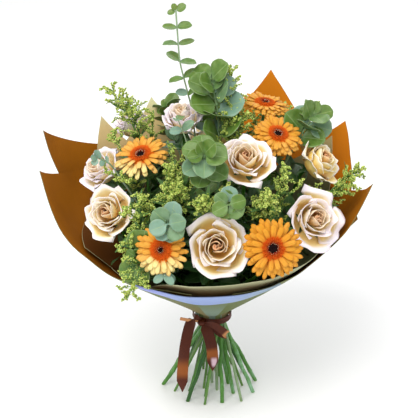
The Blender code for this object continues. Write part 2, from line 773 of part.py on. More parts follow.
def wall_point(azimuth, slant, layer):
    """A point of the paper's funnel. slant is the length of paper from the waist; below 0 it runs down."""
    turn = math.radians(azimuth)
    back = max(0.0, math.sin(turn)) ** 2
    right = max(0.0, math.cos(turn))
    radius = FUNNEL_WAIST_RADIUS
    height = FUNNEL_START - layer * LAYER_DROP + min(slant, 0.0)
    run = 0.0
    while run < slant:
        step = min(FUNNEL_STEP, slant - run)
        turned = smooth((run - FUNNEL_TURNS_FROM) / (FUNNEL_TURNS_TO - FUNNEL_TURNS_FROM))
        angle = mix(FUNNEL_LOW_ANGLE, FUNNEL_HIGH_ANGLE, turned)
        angle += (FUNNEL_BACK_LEAN * back + FUNNEL_RIGHT_LEAN * right) * smooth(run / FUNNEL_LEANS_BY)
        radius += step * math.cos(math.radians(angle))
        height += step * math.sin(math.radians(angle))
        run += step
    parted = LAYERS_OPEN * smooth(slant / LAYERS_OPEN_BY) + LAYERS_FAN * smooth(slant / LAYERS_FAN_BY)
    radius += layer * (PAPER_LAYER + parted)
    # The wrap bellies out on its left.
    left = smooth(1 - abs(azimuth - BULGE_MIDDLE) / BULGE_SPREAD)
    belly = smooth(slant / BULGE_TO) * (1 - smooth((slant - BULGE_FROM) / BULGE_TO))
    radius += BULGE * left * belly
    return Vector((radius * math.cos(turn), radius * math.sin(turn), height))


def rim_slant(azimuth, corners, lowest):
    """How far the paper runs up at an azimuth: square corners, and a plain rim between them."""
    reach = lowest
    for corner, slant, before, after in corners:
        away = (azimuth - corner + 180) % 360 - 180
        turned = math.radians(abs(away) * CORNER_SPREAD)
        fall = after if away > 0 else before
        if turned < math.atan(fall):
            reach = max(reach, slant / (math.cos(turned) + fall * math.sin(turned)))
    return reach


def sheet_columns(first, last, corners):
    """Azimuths at even steps that all the sheets share, with one more at each corner."""
    corner_azimuths = {corner for corner, *_ in corners if first < corner < last}
    return sorted(corner_azimuths | set(range(first, last + 1, COLUMN_STEP)))


def lining_dip(azimuth):
    """How much lower the lining's rim lies on the left, where the flowers hang out over it."""
    return LINING_DIP * smooth(1 - abs(azimuth - LINING_DIP_MIDDLE) / LINING_DIP_SPREAD)


def cuff_depth(azimuth):
    """How far the front rim is folded down, deepest at the middle of the front."""
    middle = smooth(1 - abs(azimuth - CUFF_MIDDLE) / CUFF_SPREAD)
    return mix(CUFF_SHALLOW, CUFF_DEEP, middle)


def paper_sheet(first, last, layer, corners, lowest, cuff=False):
    """A skirt below the tie, the waist, and the funnel up to the rim, which may be folded out and down."""
    columns = sheet_columns(first, last, corners)
    closed = last - first == 360
    if closed:
        columns.pop()
    rows = [[wall_point(a, slant, layer) for a in columns] for slant in (-SKIRT, 0)]
    rims = [rim_slant(a, corners, lowest - (0 if layer else lining_dip(a))) for a in columns]
    for share in SHEET_ROWS:
        rows.append([wall_point(a, share * rim, layer) for a, rim in zip(columns, rims)])
    if cuff:
        out = layer + CUFF_LAYERS
        rows.append([wall_point(a, rim - cuff_depth(a), out) for a, rim in zip(columns, rims)])
    return blade(rows, PAPER, closed)


def ring(radius, low, high, thickness, sides):
    """A closed band round the waist."""
    rows = []
    for height in (low, high):
        turns = [2 * math.pi * k / sides for k in range(sides)]
        rows.append([Vector((radius * math.cos(t), radius * math.sin(t), height)) for t in turns])
    return blade(rows, thickness, round_about=True)


def strip(offsets, across, width, gathers):
    """A length of ribbon from the knot. across is its width's direction at each end, and it turns between.
    Its first row, and its last one too where gathers is 2, is gathered inside the knot."""
    rows = []
    for number, offset in enumerate(offsets):
        share = number / (len(offsets) - 1)
        direction = across[0].lerp(across[1], share).normalized()
        gathered = number == 0 or (gathers == 2 and share == 1)
        half = width * (0.12 if gathered else 0.5)
        point = KNOT + Vector(offset)
        rows.append([point - direction * half, point + direction * half])
    return blade(rows, RIBBON)


def ribbon():
    """A band round the waist, a knot, two loops and two hanging tails, all of one ribbon."""
    knot = lathe([(0, -6), (5, -4), (5, 4), (0, 6)], 7)
    knot_place = Matrix.Translation(KNOT) @ Matrix.Rotation(math.radians(80), 4, "Y")
    tall = Vector((0.25, 0, 1))
    left_turn = (Vector((0.6, 0, 0.8)), Vector((1, -0.15, 0)))
    right_turn = (Vector((1, 0, 0.1)), Vector((1, 0.2, 0)))
    return [
        ring(RIBBON_RADIUS, RIBBON_LOW, RIBBON_LOW + RIBBON_BAND, RIBBON, 18),
        moved(knot, knot_place),
        strip(LEFT_TAIL, left_turn, RIBBON_WIDTH, 1),
        strip(RIGHT_TAIL, right_turn, RIBBON_WIDTH, 1),
        strip(RIGHT_LOOP, (tall, tall), RIBBON_WIDTH * 0.7, 2),
        strip(LEFT_LOOP, (tall, tall), RIBBON_WIDTH * 0.4, 2),
    ]


def binding():
    """The twine that holds the stems, wound tight under the paper."""
    inside = BUNDLE_RADIUS + STEM_GAP + TWINE
    sides = 12
    rows = []
    for out, up in ((0, -TWINE_REACH), (TWINE_RIB, 0), (0, TWINE_REACH)):
        row = []
        for k in range(sides):
            turn = 2 * math.pi * k / sides
            around = Vector((math.cos(turn), math.sin(turn), 0))
            row.append(around * (inside + out) + UP * (WAIST_HEIGHT + up))
        rows.append(row)
    return [blade(rows, TWINE, round_about=True)]


# From shapes to objects.


def clear_scene():
    for old in list(bpy.data.objects):
        bpy.data.objects.remove(old)


def material(slot):
    made = bpy.data.materials.get(slot)
    if made is None:
        colour, roughness = MATERIALS[slot]
        made = bpy.data.materials.new(slot)
        made.use_nodes = True
        shader = made.node_tree.nodes["Principled BSDF"]
        shader.inputs["Base Color"].default_value = (*colour, 1)
        shader.inputs["Roughness"].default_value = roughness
        shader.inputs["Metallic"].default_value = 0.0
    return made


def mesh_object(name, shape):
    points, faces = shape
    mesh = bpy.data.meshes.new(name)
    mesh.from_pydata([point * MM for point in points], [], faces)
    return bpy.data.objects.new(name, mesh)


def keep_outer_body(mesh):
    """Leaves the largest body's outer surface: sealed hollows are filled and loose scraps dropped."""
    work = bmesh.new()
    work.from_mesh(mesh)
    bmesh.ops.triangulate(work, faces=work.faces)
    left = set(work.faces)
    bodies = []
    while left:
        body = []
        waiting = [left.pop()]
        while waiting:
            face = waiting.pop()
            body.append(face)
            for edge in face.edges:
                for other in edge.link_faces:
                    if other in left:
                        left.remove(other)
                        waiting.append(other)
        bodies.append(body)

    def volume(body):
        corners = ([v.co for v in face.verts] for face in body)
        return sum(a.dot(b.cross(c)) for a, b, c in corners)

    largest = max(bodies, key=volume)
    for body in bodies:
        if body is not largest:
            bmesh.ops.delete(work, geom=body, context="FACES")
    work.to_mesh(mesh)
    work.free()


def join(name, shapes, slot, solver="EXACT"):
    """One object from shapes that run into each other."""
    base = mesh_object(name, shapes[0])
    bpy.context.scene.collection.objects.link(base)
    if len(shapes) > 1:
        pieces = bpy.data.collections.new(name + "_pieces")
        bpy.context.scene.collection.children.link(pieces)
        for shape in shapes[1:]:
            pieces.objects.link(mesh_object(name + "_piece", shape))
        union = base.modifiers.new("join", "BOOLEAN")
        union.operation = "UNION"
        union.operand_type = "COLLECTION"
        union.collection = pieces
        union.solver = solver
        graph = bpy.context.evaluated_depsgraph_get()
        joined = bpy.data.meshes.new_from_object(base.evaluated_get(graph))
        base.modifiers.remove(union)
        base.data = joined
        for piece in list(pieces.objects):
            bpy.data.objects.remove(piece)
        bpy.data.collections.remove(pieces)
    keep_outer_body(base.data)
    base.data.materials.clear()
    base.data.materials.append(material(slot))
    base.data.shade_smooth()
    base.data.set_sharp_from_angle(angle=math.radians(40))
    return base


def stem_radii(path, radius, tip_radius):
    return [mix(radius, tip_radius, smooth((point.z - WAIST_HEIGHT) / TAPER_LENGTH)) for point in path]


def rose_base(face, facing, radius):
    return flower_base(face, facing, ROSE_DEPTH * radius / ROSE_FULL_RADIUS)


def stem_paths():
    """Every stem's path, by name, with all of them held side by side at the waist."""
    points = {}
    radii = {}
    for name, (face, facing, radius, *_) in ROSES.items():
        points[name] = flower_stem_points(rose_base(face, facing, radius), facing)
        radii[name] = ROSE_STEM
    for name, (face, facing, _) in GERBERAS.items():
        points[name] = flower_stem_points(flower_base(face, facing, GERBERA_DEPTH + GERBERA_NECK), facing)
        radii[name] = GERBERA_STEM
    for name, (upper_points, radius, *_) in EUCALYPTUS.items():
        points[name] = upper_points
        radii[name] = radius
    for name, (upper_points, _) in SOLIDAGO.items():
        points[name] = upper_points
        radii[name] = SOLIDAGO_SEAT
    seats = settled({name: seat_below(upper[0]) for name, upper in points.items()}, radii, "eucalyptus_1")
    return {name: stem_path(seats[name], upper, 1) for name, upper in points.items()}


def bloom_shapes():
    """The roses, the gerberas' rays and the gerberas' hearts, by name."""
    roses = {}
    for name, (face, facing, radius, opened, turn) in ROSES.items():
        stand = placed(rose_base(face, facing, radius), Vector(facing), math.radians(turn))
        roses[name] = [moved(shape, stand) for shape in rose_bloom(radius, opened)]
    rays = {}
    hearts = {}
    for name, (face, facing, radius) in GERBERAS.items():
        stand = placed(flower_base(face, facing, GERBERA_DEPTH), Vector(facing), radius)
        rays[name] = [moved(shape, stand) for shape in gerbera_rays(radius)]
        hearts[name] = [moved(shape, stand) for shape in gerbera_heart()]
    return roses, rays, hearts


def stem_shapes(paths):
    """Each stem on its path, widened under its flower, by name."""
    stems = {}
    for name, (_, facing, *_) in ROSES.items():
        facing = Vector(facing).normalized()
        base = paths[name][-1]
        path = paths[name][:-1] + [base - facing * ROSE_NECK, base - facing * (SEPAL_ROOT + SEAT_GAP)]
        radii = stem_radii(path, ROSE_STEM, ROSE_STEM_TOP)
        radii[-1] = ROSE_HIP
        stems[name] = [stem_with_sepals(path, radii, facing)]
    for name, (face, facing, _) in GERBERAS.items():
        facing = Vector(facing).normalized()
        base = flower_base(face, facing, GERBERA_DEPTH)
        cup = [base - facing * (GERBERA_BACK + SEAT_GAP + below) for below in (3.2, 0)]
        path = paths[name] + cup
        radii = stem_radii(path, GERBERA_STEM, GERBERA_STEM_TOP)
        radii[-2:] = GERBERA_CUP
        stems[name] = [tube(path, radii, 5, True)]
    for name, (_, radius, *_) in EUCALYPTUS.items():
        stems[name] = [tube(paths[name], stem_radii(paths[name], radius, EUCALYPTUS_TIP), 4, True)]
    for name in SOLIDAGO:
        stems[name] = [tube(paths[name], [SOLIDAGO_STEM] * len(paths[name]), 3, True)]
    return stems


def add_leaves(stems, paths):
    """The leaves, pairs of leaves and budded plumes of every stem, each clear of the other nodes."""
    for name, (_, _, low, high, start, pairs) in EUCALYPTUS.items():
        stems[name] += eucalyptus_leaves(name, paths[name], low, high, start, pairs)
    for name, (_, tips) in SOLIDAGO.items():
        stems[name] += solidago_plumes(name, paths[name], tips)
    for name in ROSES:
        stems[name] += leaves_on(name, paths[name], (0.82,), rose_leaf)
    for name in SOLIDAGO:
        stems[name] += leaves_on(name, paths[name], (0.76, 0.9), narrow_leaf)


def build():
    clear_scene()
    paths = stem_paths()
    sheets = {name: [paper_sheet(*plan, name == "paper_front")] for name, plan in SHEETS.items()}
    roses, rays, hearts = bloom_shapes()
    stems = stem_shapes(paths)

    finished = [(name, shapes, "kraft_paper") for name, shapes in sheets.items() if name != "lining"]
    finished.append(("lining", sheets["lining"], "lining_paper"))
    finished += [(name + "_bloom", shapes, "rose_petal") for name, shapes in roses.items()]
    finished += [(name + "_rays", shapes, "gerbera_petal") for name, shapes in rays.items()]
    finished += [(name + "_heart", shapes, "gerbera_heart") for name, shapes in hearts.items()]
    for name, shapes, _ in finished:
        for shape in shapes:
            NEIGHBOURS.add(name, shape)
    for name, shapes in stems.items():
        NEIGHBOURS.add(name, shapes[0])

    add_leaves(stems, paths)
    for name, shapes in stems.items():
        flower = name in ROSES or name in GERBERAS
        finished.append((name + "_stem" if flower else name, shapes, STEM_SLOTS[name.split("_")[0]]))
    finished.append(("binding", binding(), "twine"))
    for name, shapes, slot in finished:
        join(name, shapes, slot)
    # EXACT leaves an edge of the ribbon's loops touching itself.
    join("ribbon", ribbon(), "satin_ribbon", "MANIFOLD")


build()
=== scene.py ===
"""The looks of a mixed bouquet, tied by hand in a spiral and wrapped in two-sided paper.

Lengths are in millimetres up to the point where a mesh is made. The flowers, stems and paper lie where the
solids of the frame lie, and each piece is a finer form of the solid that it stands for.
"""

import math
import random

import bpy
import numpy as np
from mathutils import Matrix, Vector, noise
from mathutils.bvhtree import BVHTree


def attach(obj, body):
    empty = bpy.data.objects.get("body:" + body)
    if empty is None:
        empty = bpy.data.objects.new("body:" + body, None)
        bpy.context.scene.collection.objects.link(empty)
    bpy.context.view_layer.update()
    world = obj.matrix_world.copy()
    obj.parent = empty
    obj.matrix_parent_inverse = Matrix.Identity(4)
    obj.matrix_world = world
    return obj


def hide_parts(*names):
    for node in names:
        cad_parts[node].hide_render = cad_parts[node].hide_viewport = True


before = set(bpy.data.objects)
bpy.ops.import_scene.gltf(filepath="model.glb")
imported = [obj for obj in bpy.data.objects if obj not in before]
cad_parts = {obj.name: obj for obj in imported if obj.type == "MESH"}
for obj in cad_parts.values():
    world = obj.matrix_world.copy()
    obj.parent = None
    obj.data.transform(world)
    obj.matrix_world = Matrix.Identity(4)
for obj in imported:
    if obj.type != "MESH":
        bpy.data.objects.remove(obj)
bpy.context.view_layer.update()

MM = 0.001
UP = Vector((0, 0, 1))
GOLDEN_ANGLE = math.radians(137.508)

# The spiral of stems.
WAIST_HEIGHT = 112.0
SPIRAL_BELOW = 0.041
SPIRAL_ABOVE = 0.048
SPIRAL_LEVEL = 146.0
BUNDLE_RADIUS = 17.2
TWINE_TURNS = 5
TWINE_RADIUS = 0.75

# The paper's funnel.
FUNNEL_START = 119.0
FUNNEL_WAIST_RADIUS = 21.0
FUNNEL_LOW_ANGLE = 39.0
FUNNEL_HIGH_ANGLE = 74.0
FUNNEL_TURNS_FROM = 120.0
FUNNEL_TURNS_TO = 320.0
FUNNEL_BACK_LEAN = 20.0
FUNNEL_RIGHT_LEAN = 4.0
FUNNEL_LEANS_BY = 180.0
FUNNEL_STEP = 5.0
CORNER_SPREAD = 0.7
PAPER_THICKNESS = 0.7
PAPER_LAYER = 1.25
LAYER_DROP = 1.2
SKIRT = 12.0
LAYERS_OPEN = 1.8
LAYERS_OPEN_BY = 30.0
LAYERS_FAN = 5.2
LAYERS_FAN_BY = 240.0
FACET = 20.0
FACET_DEPTH = 0.85
FACET_RIM_DEPTH = 0.25
FACETS_EASE_BY = 120
CUFF_DEEP = 42.0
CUFF_SHALLOW = 4.0
CUFF_MIDDLE = 264
CUFF_SPREAD = 40.0
BULGE = 16.0
BULGE_MIDDLE = 198
BULGE_SPREAD = 58.0
BULGE_TO = 130.0
BULGE_FROM = 170.0
LINING_DIP = 80.0
LINING_DIP_MIDDLE = 209
LINING_DIP_SPREAD = 48.0
CUFF_LAYERS = 0.35
# Waves and creases to a millimetre, and how fast the fine ribs run round the wrap.
WAVES = 0.022
CREASES = 0.016
PAPER_RIBS = 2600.0

# name: (middle of the open face, the way it faces, radius, how far it has opened, first petal's turn,
#        blush of its rims, gold of its heart)
ROSES = {
    "rose_1": ((-150, 2, 323), (-0.70, -0.42, 0.58), 35, 0.55, 20, 1.0, 0.1),
    "rose_2": ((-134, -64, 288), (-0.36, -0.76, 0.54), 39, 0.60, 50, 0.5, 0.6),
    "rose_3": ((-40, 33, 381), (-0.10, -0.34, 0.94), 34, 0.30, 0, 1.3, 0.0),
    "rose_4": ((-110, 74, 360), (-0.42, 0.20, 0.88), 32, 0.40, 80, 1.2, 0.0),
    "rose_5": ((41, -50, 358), (0.02, -0.58, 0.81), 41, 0.65, 10, 0.7, 0.7),
    "rose_6": ((147, 22, 328), (0.72, -0.30, 0.62), 38, 0.75, 65, 0.1, 1.1),
    "rose_7": ((132, -67, 281), (0.42, -0.78, 0.46), 41, 0.85, 35, 0.9, 0.5),
    "rose_8": ((6, -128, 271), (0.04, -0.88, 0.46), 42, 0.80, 75, 0.6, 0.8),
    "rose_9": ((-4, 118, 330), (0.02, 0.62, 0.78), 37, 0.55, 15, 0.5, 0.4),
}
ROSE_DEPTH = 30.0
ROSE_FULL_RADIUS = 37.0
PETAL_THICKNESS = 0.55
PETAL_TUCK = 3.0
SEPAL_ROOT = 3.6
ROSE_NECK = 9.0
ROSE_HIP = (3.4, 4.4)
ROSE_LEAF_STALK = 14
KNOT_SWELLS = 1.14
# Whorls from the heart out: petals, layer of the first and last, half width in degrees.
ROSE_WHORLS = (
    (2, -0.42, -0.32, 130),
    (3, -0.22, -0.12, 88),
    (3, -0.04, 0.06, 78),
    (4, 0.16, 0.28, 64),
    (5, 0.42, 0.56, 58),
    (5, 0.74, 1.0, 54),
)
WHORL_TURN = 0.62
TALL_BUD = 0.8
PETAL_HANG = 0.17
OUTER_PETALS_FROM = 0.5

# name: (middle of the face, the way it faces, radius, paleness of its rays, share of its rays)
GERBERAS = {
    "gerbera_1": ((-90, -22, 348), (-0.22, -0.40, 0.89), 36, 0.8, 0.75),
    "gerbera_2": ((-62, -128, 266), (-0.16, -0.90, 0.40), 33, 0.55, 0.85),
    "gerbera_3": ((73, -130, 269), (0.14, -0.90, 0.41), 38, 0.1, 1.0),
    "gerbera_4": ((84, 14, 362), (0.20, -0.44, 0.87), 34, 0.35, 1.0),
    "gerbera_5": ((70, 78, 382), (0.14, -0.06, 0.99), 34, 0.55, 1.0),
}
GERBERA_DEPTH = 4.0
GERBERA_NECK = 9.0
GERBERA_CUP = (5.4, 7.4)
BRACTS = 26
# Whorls of rays from the lowest: rays, share of the radius, lift in degrees, height, first ray's turn.
RAY_WHORLS = ((25, 1.0, 0, 0.4, 0.0), (23, 0.9, 6, 1.5, 0.19), (15, 0.76, 12, 2.3, 0.1))
RAY_ROOT = 6.0
DISC_RADIUS = 14.5
DISC_RIM = 1.4
DISC_TOP = 4.6
DISC_THICKNESS = 0.8
HEART_FLORETS = 360
HEART_REACH = 0.42
STAMENS = 18
STAMEN_HEIGHT = 6.0
STAMEN_SIZE = (2.4, 1.9, 1.9)
STAMEN_TINT = 2.0
# How much of a heart its dark eye takes up.
EYES = {"gerbera_2": 0.24, "gerbera_3": 0.38}

# name: (points above the waist, stem radius, leaf radius low and high, where the leaves start, pairs)
EUCALYPTUS = {
    "eucalyptus_1": (((-16, 46, 280), (-26, 71, 374), (-42, 69, 440), (-46, 66, 508)), 2.1, 11, 6, 0.74, 6),
    "eucalyptus_2": (((10, 20, 300), (8, 36, 380), (-2, 48, 432)), 2.0, 18, 15, 0.52, 4),
    "eucalyptus_3": (((-6, -30, 280), (-9, -66, 345), (-10, -88, 374)), 1.8, 17, 12, 0.62, 3),
    "eucalyptus_4": (((84, 34, 290), (118, 46, 352), (132, 50, 374)), 1.8, 17, 11, 0.50, 3),
    "eucalyptus_5": (((12, -60, 270), (18, -112, 318), (20, -128, 326)), 1.5, 10, 7, 0.70, 2),
    "eucalyptus_6": (((-42, -70, 250), (-50, -118, 296), (-54, -134, 303)), 1.6, 12, 9, 0.72, 2),
    "eucalyptus_7": (((-58, -74, 212), (-88, -108, 248), (-99, -128, 257)), 1.6, 13, 9, 0.70, 2),
    "eucalyptus_8": (((-94, -25, 280), (-128, -26, 338), (-142, -44, 352)), 1.4, 8, 6, 0.62, 3),
    "eucalyptus_9": (((-30, 88, 262), (-56, 124, 330), (-60, 134, 352)), 1.9, 15, 10, 0.50, 3),
}
# name: (close pairs near the tip, how far down they reach, how steeply they rise, their growth,
#        how far the lower pairs turn from side to side only, how far leaves turn to the front)
YOUNG_LEAVES = {
    "eucalyptus_1": (0, 0, 0.4, 2.4, 0.3, 0.3),
    "eucalyptus_2": (11, 92, 0.6, 1.05, 1, 1.6),
    "eucalyptus_3": (5, 46, 0.35, 1.05, 1, 0.3),
    "eucalyptus_4": (7, 48, 0.5, 1.15, 1, 1.4),
    "eucalyptus_5": (4, 18, 0.4, 1.2, 1, 0),
    "eucalyptus_6": (4, 20, 0.5, 1.1, 1, 0),
    "eucalyptus_7": (1, 0, 0.3, 1.6, 1, 0.8),
    "eucalyptus_8": (0, 0, 0.4, 1.0, 1, 0.5),
    "eucalyptus_9": (5, 44, 0.7, 1.0, 1, 0),
}
GLAUCOUS = {"eucalyptus_1": 0.1, "eucalyptus_6": 0.5, "eucalyptus_7": 0.05, "eucalyptus_8": 0.9}
FRONT = Vector((0.05, -1.0, 0.35))
# name: (where it forks off, points, leaf radius, pairs, length that they take, bloom)
SIDE_TWIGS = {
    "eucalyptus_6": (0.60, ((-36, -20, 300), (-30, -22, 352), (-44, -18, 398)), 9, 2, 40, 0.4),
    "eucalyptus_7": (0.72, ((-62, -112, 226), (-57, -140, 238)), 8, 3, 18, 0.9),
}
LEAF_RISE = 0.35
LEAF_DISH = -0.10
LEAF_LENGTH = 2.25
LEAF_STALK = 0.09
# Some eucalyptus leaves are paler blue-grey: waxy bloom, and partly painted highlight.
WAXY_HIGHLIGHT_SHARE = 0.15
WAXY_HIGHLIGHT_LEAF = 0.5
YOUNG_LEAF_TURN = math.radians(67)
# The leaves at a tip: turn in degrees, share of the length.
TIP_LEAVES = ((-85, 0.85), (-14, 0.8), (50, 1.15))
TIP_LEAF_LENGTH = 2.2

# name: (points of the main stem above the waist, tips of its plumes)
SOLIDAGO = {
    "solidago_1": (
        ((-62, 24, 250), (-96, 36, 352)),
        ((-133, 40, 417), (-110, 45, 401), (-78, 42, 384)),
    ),
    "solidago_2": (
        ((-86, 6, 260), (-108, -8, 312)),
        ((-132, 26, 360), (-134, -36, 330), (-112, -56, 328)),
    ),
    "solidago_3": (
        ((-66, -52, 236), (-92, -76, 280)),
        ((-106, -92, 300), (-100, -112, 268), (-86, -88, 318)),
    ),
    "solidago_4": (
        ((-66, -62, 216), (-76, -104, 256)),
        ((-103, -150, 211), (-108, -118, 256)),
    ),
    "solidago_5": (
        ((-30, -40, 250), (-44, -66, 312)),
        ((-54, -60, 350), (-38, -98, 334), (-58, -96, 324), (-60, -12, 362)),
    ),
    "solidago_6": (
        ((4, -60, 230), (8, -92, 296)),
        ((-12, -116, 326), (34, -104, 324), (-26, -118, 306)),
    ),
    "solidago_7": (
        ((58, -40, 240), (78, -60, 292)),
        ((90, -38, 340), (64, -98, 318), (90, -80, 314), (112, -46, 318)),
    ),
    "solidago_8": (
        ((16, 12, 270), (26, 34, 350)),
        ((18, 60, 440), (32, 46, 402), (46, 24, 388), (12, 8, 392)),
    ),
    "solidago_9": (
        ((96, -8, 246), (146, -4, 280)),
        ((195, 8, 316), (184, -16, 304)),
    ),
    "solidago_10": (
        ((56, 78, 258), (92, 98, 326)),
        ((104, 110, 366), (150, 100, 370), (52, 128, 352)),
    ),
}
PLUME_BOW = 0.10
PLUME_LEAF = (16, 26)
LEAFY_SHARE = 0.6
BUD_SPACING = 1.7
TWIG_TINT = 0.5
TWIGS = 15
FORKS = 3
SOLIDAGO_STEM = 1.7
STEM_LEAVES = 56
STEM_THINS_OVER = 260
ROSE_LEAVES = 10
STEM_SHOULDER = (16.0, 12.0)
STEM_APPROACH = (20.0, 22.0)

# name: (azimuth from, azimuth to, layer, corners as (azimuth, slant, fall before, fall after), lowest rim)
SHEETS = {
    "paper_left": (120, 260, 1, ((181, 281, 0.75, 2.6),), 150),
    "paper_left_back": (100, 164, 2, ((164, 310, 0.95, 0.95),), 190),
    "paper_right": (-80, 40, 1, ((-9, 266, 3.0, 0.9),), 150),
    "paper_back": (0, 120, 3, ((64, 334, 1.4, 1.4), (32, 292, 2.2, 1.2)), 185),
    "paper_front": (232, 304, 2, (), 157),
    "lining": (0, 360, 0, ((141, 294, 1.7, 2.4), (119, 300, 1.5, 1.4), (30, 275, 2.8, 1.3)), 172),
}

# The ribbon, as offsets from its knot.
RIBBON_RADIUS = FUNNEL_WAIST_RADIUS + 3 * PAPER_LAYER + 1.6
RIBBON_WIDTH = 15.0
RIBBON_BAND = 8.0
RIBBON_THICKNESS = 0.5
RIBBON_LOW = 106.0
SATIN_BOWL = 0.08
TAIL_CUT = 0.14
KNOT = Vector((-14, -RIBBON_RADIUS - 0.4, 110))
KNOT_RADIUS = 4.6
KNOT_REACH = 5.5
LEFT_TAIL = ((-1, 0.4, 0.5), (-12, -5, 7), (-21, -16, -22), (-25, -36, -54), (-25, -50, -77))
RIGHT_TAIL = ((1.2, -0.6, -0.7), (8, -8, -10), (14, -20, -30), (15, -32, -56))
LEFT_LOOP = ((0, 0, 1), (-14, -4, 5), (-28, -3, 7), (-14, 1.0, 2), (0.8, 1.2, -0.6))
RIGHT_LOOP = ((0.4, -1.1, 0.2), (16, -10, 1), (33, -9, -13), (24, -3, -15), (2, 0, -1))

# The photograph's view.
VIEW_TARGET = Vector((-4, 0, 263))
VIEW_ELEVATION = math.radians(24)
VIEW_DISTANCE = 1600.0
VIEW_WIDTH = 543.4
SENSOR_WIDTH = 36

# name, place in metres, size, power, colour
LIGHTS = (
    ("key", (-0.7, -1.1, 2.2), 1.6, 42.0, (1.0, 0.98, 0.94)),
    ("fill", (1.6, -1.2, 1.0), 1.2, 4.0, (0.88, 0.92, 1.0)),
    ("rim", (0.5, 1.6, 1.7), 1.0, 10.0, (0.95, 0.97, 1.0)),
)
STUDIO_LIGHT = 0.86


def smooth(share):
    """0 to 1 with no kink at either end, for a number or an array."""
    share = np.clip(share, 0.0, 1.0)
    return share * share * (3 - 2 * share)


def eased(share):
    """smooth, as a plain number."""
    return float(smooth(share))


def mix(low, high, share):
    return low + (high - low) * share


def full_turn(sides):
    """Angles evenly round a circle."""
    return np.arange(sides) * 2 * math.pi / sides


def leaf_grid(rows, columns):
    """(share of the length, -1 to 1 across) for each point of a leaf or petal."""
    return np.meshgrid(np.linspace(0, 1, rows), np.linspace(-1, 1, columns), indexing="ij")


# Node trees, for materials and for geometry.


class Socket:
    """An output in a node tree. Python's operators on it add Math nodes."""

    def __init__(self, tree, output):
        self.tree = tree
        self.output = output

    def math(self, operation, *values):
        return self.tree.add("ShaderNodeMath", {"operation": operation}, *values)

    def __add__(self, other):
        return self.math("ADD", self, other)

    def __radd__(self, other):
        return self.math("ADD", other, self)

    def __sub__(self, other):
        return self.math("SUBTRACT", self, other)

    def __rsub__(self, other):
        return self.math("SUBTRACT", other, self)

    def __mul__(self, other):
        return self.math("MULTIPLY", self, other)

    def __rmul__(self, other):
        return self.math("MULTIPLY", other, self)

    def __truediv__(self, other):
        return self.math("DIVIDE", self, other)

    def __pow__(self, other):
        return self.math("POWER", self, other)

    def of(self, operation):
        return self.math(operation, self)

    def absolute(self):
        return self.of("ABSOLUTE")

    def at_most(self, limit):
        return self.math("MINIMUM", self, limit)

    def clear_of(self, low, high):
        """0 below low and 1 above high, smooth between them."""
        settings = {"interpolation_type": "SMOOTHSTEP"}
        return self.tree.add("ShaderNodeMapRange", settings, Value=self, From_Min=low, From_Max=high)


class Tree:
    """A node tree. One method adds any node to it."""

    def __init__(self, nodes):
        self.nodes = nodes

    def add(self, kind, settings=None, *values, output=0, **named):
        """Adds a node: its settings first, then its inputs, by place or by name, as values or links."""
        node = self.nodes.nodes.new(kind)
        for key, value in (settings or {}).items():
            if key == "stops":
                self.set_stops(node.color_ramp, value)
            else:
                setattr(node, key, value)
        open_inputs = [socket for socket in node.inputs if socket.enabled]
        pairs = list(zip(open_inputs, values))
        for name, value in named.items():
            wanted = name.replace("_", " ")
            pairs.append((next(socket for socket in open_inputs if socket.name == wanted), value))
        for socket, value in pairs:
            self.fill(socket, value)
        return Socket(self, [socket for socket in node.outputs if socket.enabled][output])

    def fill(self, socket, value):
        if isinstance(value, Socket):
            self.nodes.links.new(value.output, socket)
        elif isinstance(value, tuple) and len(value) == 3 and socket.type == "RGBA":
            socket.default_value = (*value, 1)
        else:
            socket.default_value = value

    def set_stops(self, ramp, stops):
        while len(ramp.elements) > 1:
            ramp.elements.remove(ramp.elements[-1])
        for number, (position, colour) in enumerate(stops):
            element = ramp.elements[0] if number == 0 else ramp.elements.new(position)
            element.position = position
            element.color = (*colour, 1)


class Finish(Tree):
    """A material."""

    def __init__(self, name, roughness, **constants):
        self.material = bpy.data.materials.new(name)
        self.material.use_nodes = True
        super().__init__(self.material.node_tree)
        self.shader = self.nodes.nodes["Principled BSDF"]
        self.shader.inputs["Roughness"].default_value = roughness
        for key, value in constants.items():
            self.shader.inputs[key.replace("_", " ")].default_value = value
        self.place = self.add("ShaderNodeTexCoord", None, output=3)

    def set(self, name, value):
        self.fill(self.shader.inputs[name], value)

    def blend(self, share, low, high):
        return self.add("ShaderNodeMix", {"data_type": "RGBA"}, Factor=share, A=low, B=high)

    def spots(self, scale, detail=2.0, rough=0.5, at=None):
        """Soft random spots, from 0 to 1, with so many to a metre."""
        at = at or self.place
        return self.add("ShaderNodeTexNoise", None, Vector=at, Scale=scale, Detail=detail, Roughness=rough)

    def streaks(self, each_way, detail, rough):
        """Soft random streaks, from 0 to 1, with so many to a metre along X, Y and Z."""
        at = self.add("ShaderNodeMapping", None, Vector=self.place, Scale=each_way)
        return self.spots(1.0, detail, rough, at)

    def bands(self, x, y, z, **more):
        """Soft lines side by side along x."""
        at = self.add("ShaderNodeCombineXYZ", None, x, y, z)
        settings = {"wave_type": "BANDS", "bands_direction": "X"}
        return self.add("ShaderNodeTexWave", settings, Vector=at, Scale=1.0, **more)

    def values(self, names):
        """The values at a mesh's points that the names, with spaces between them, say."""
        return [self.add("ShaderNodeAttribute", {"attribute_name": name}, output=2) for name in names.split()]

    def position(self, axis):
        """How far along X, Y or Z (0, 1 or 2) a point lies, in metres."""
        return self.add("ShaderNodeSeparateXYZ", None, self.place, output=axis)

    def done(self, colour, height, strength, distance):
        """Puts the colour and a bump on, and returns the material."""
        self.set("Base Color", colour)
        bump = self.add("ShaderNodeBump", None, Height=height, Strength=strength, Distance=distance)
        self.set("Normal", bump)
        return self.material


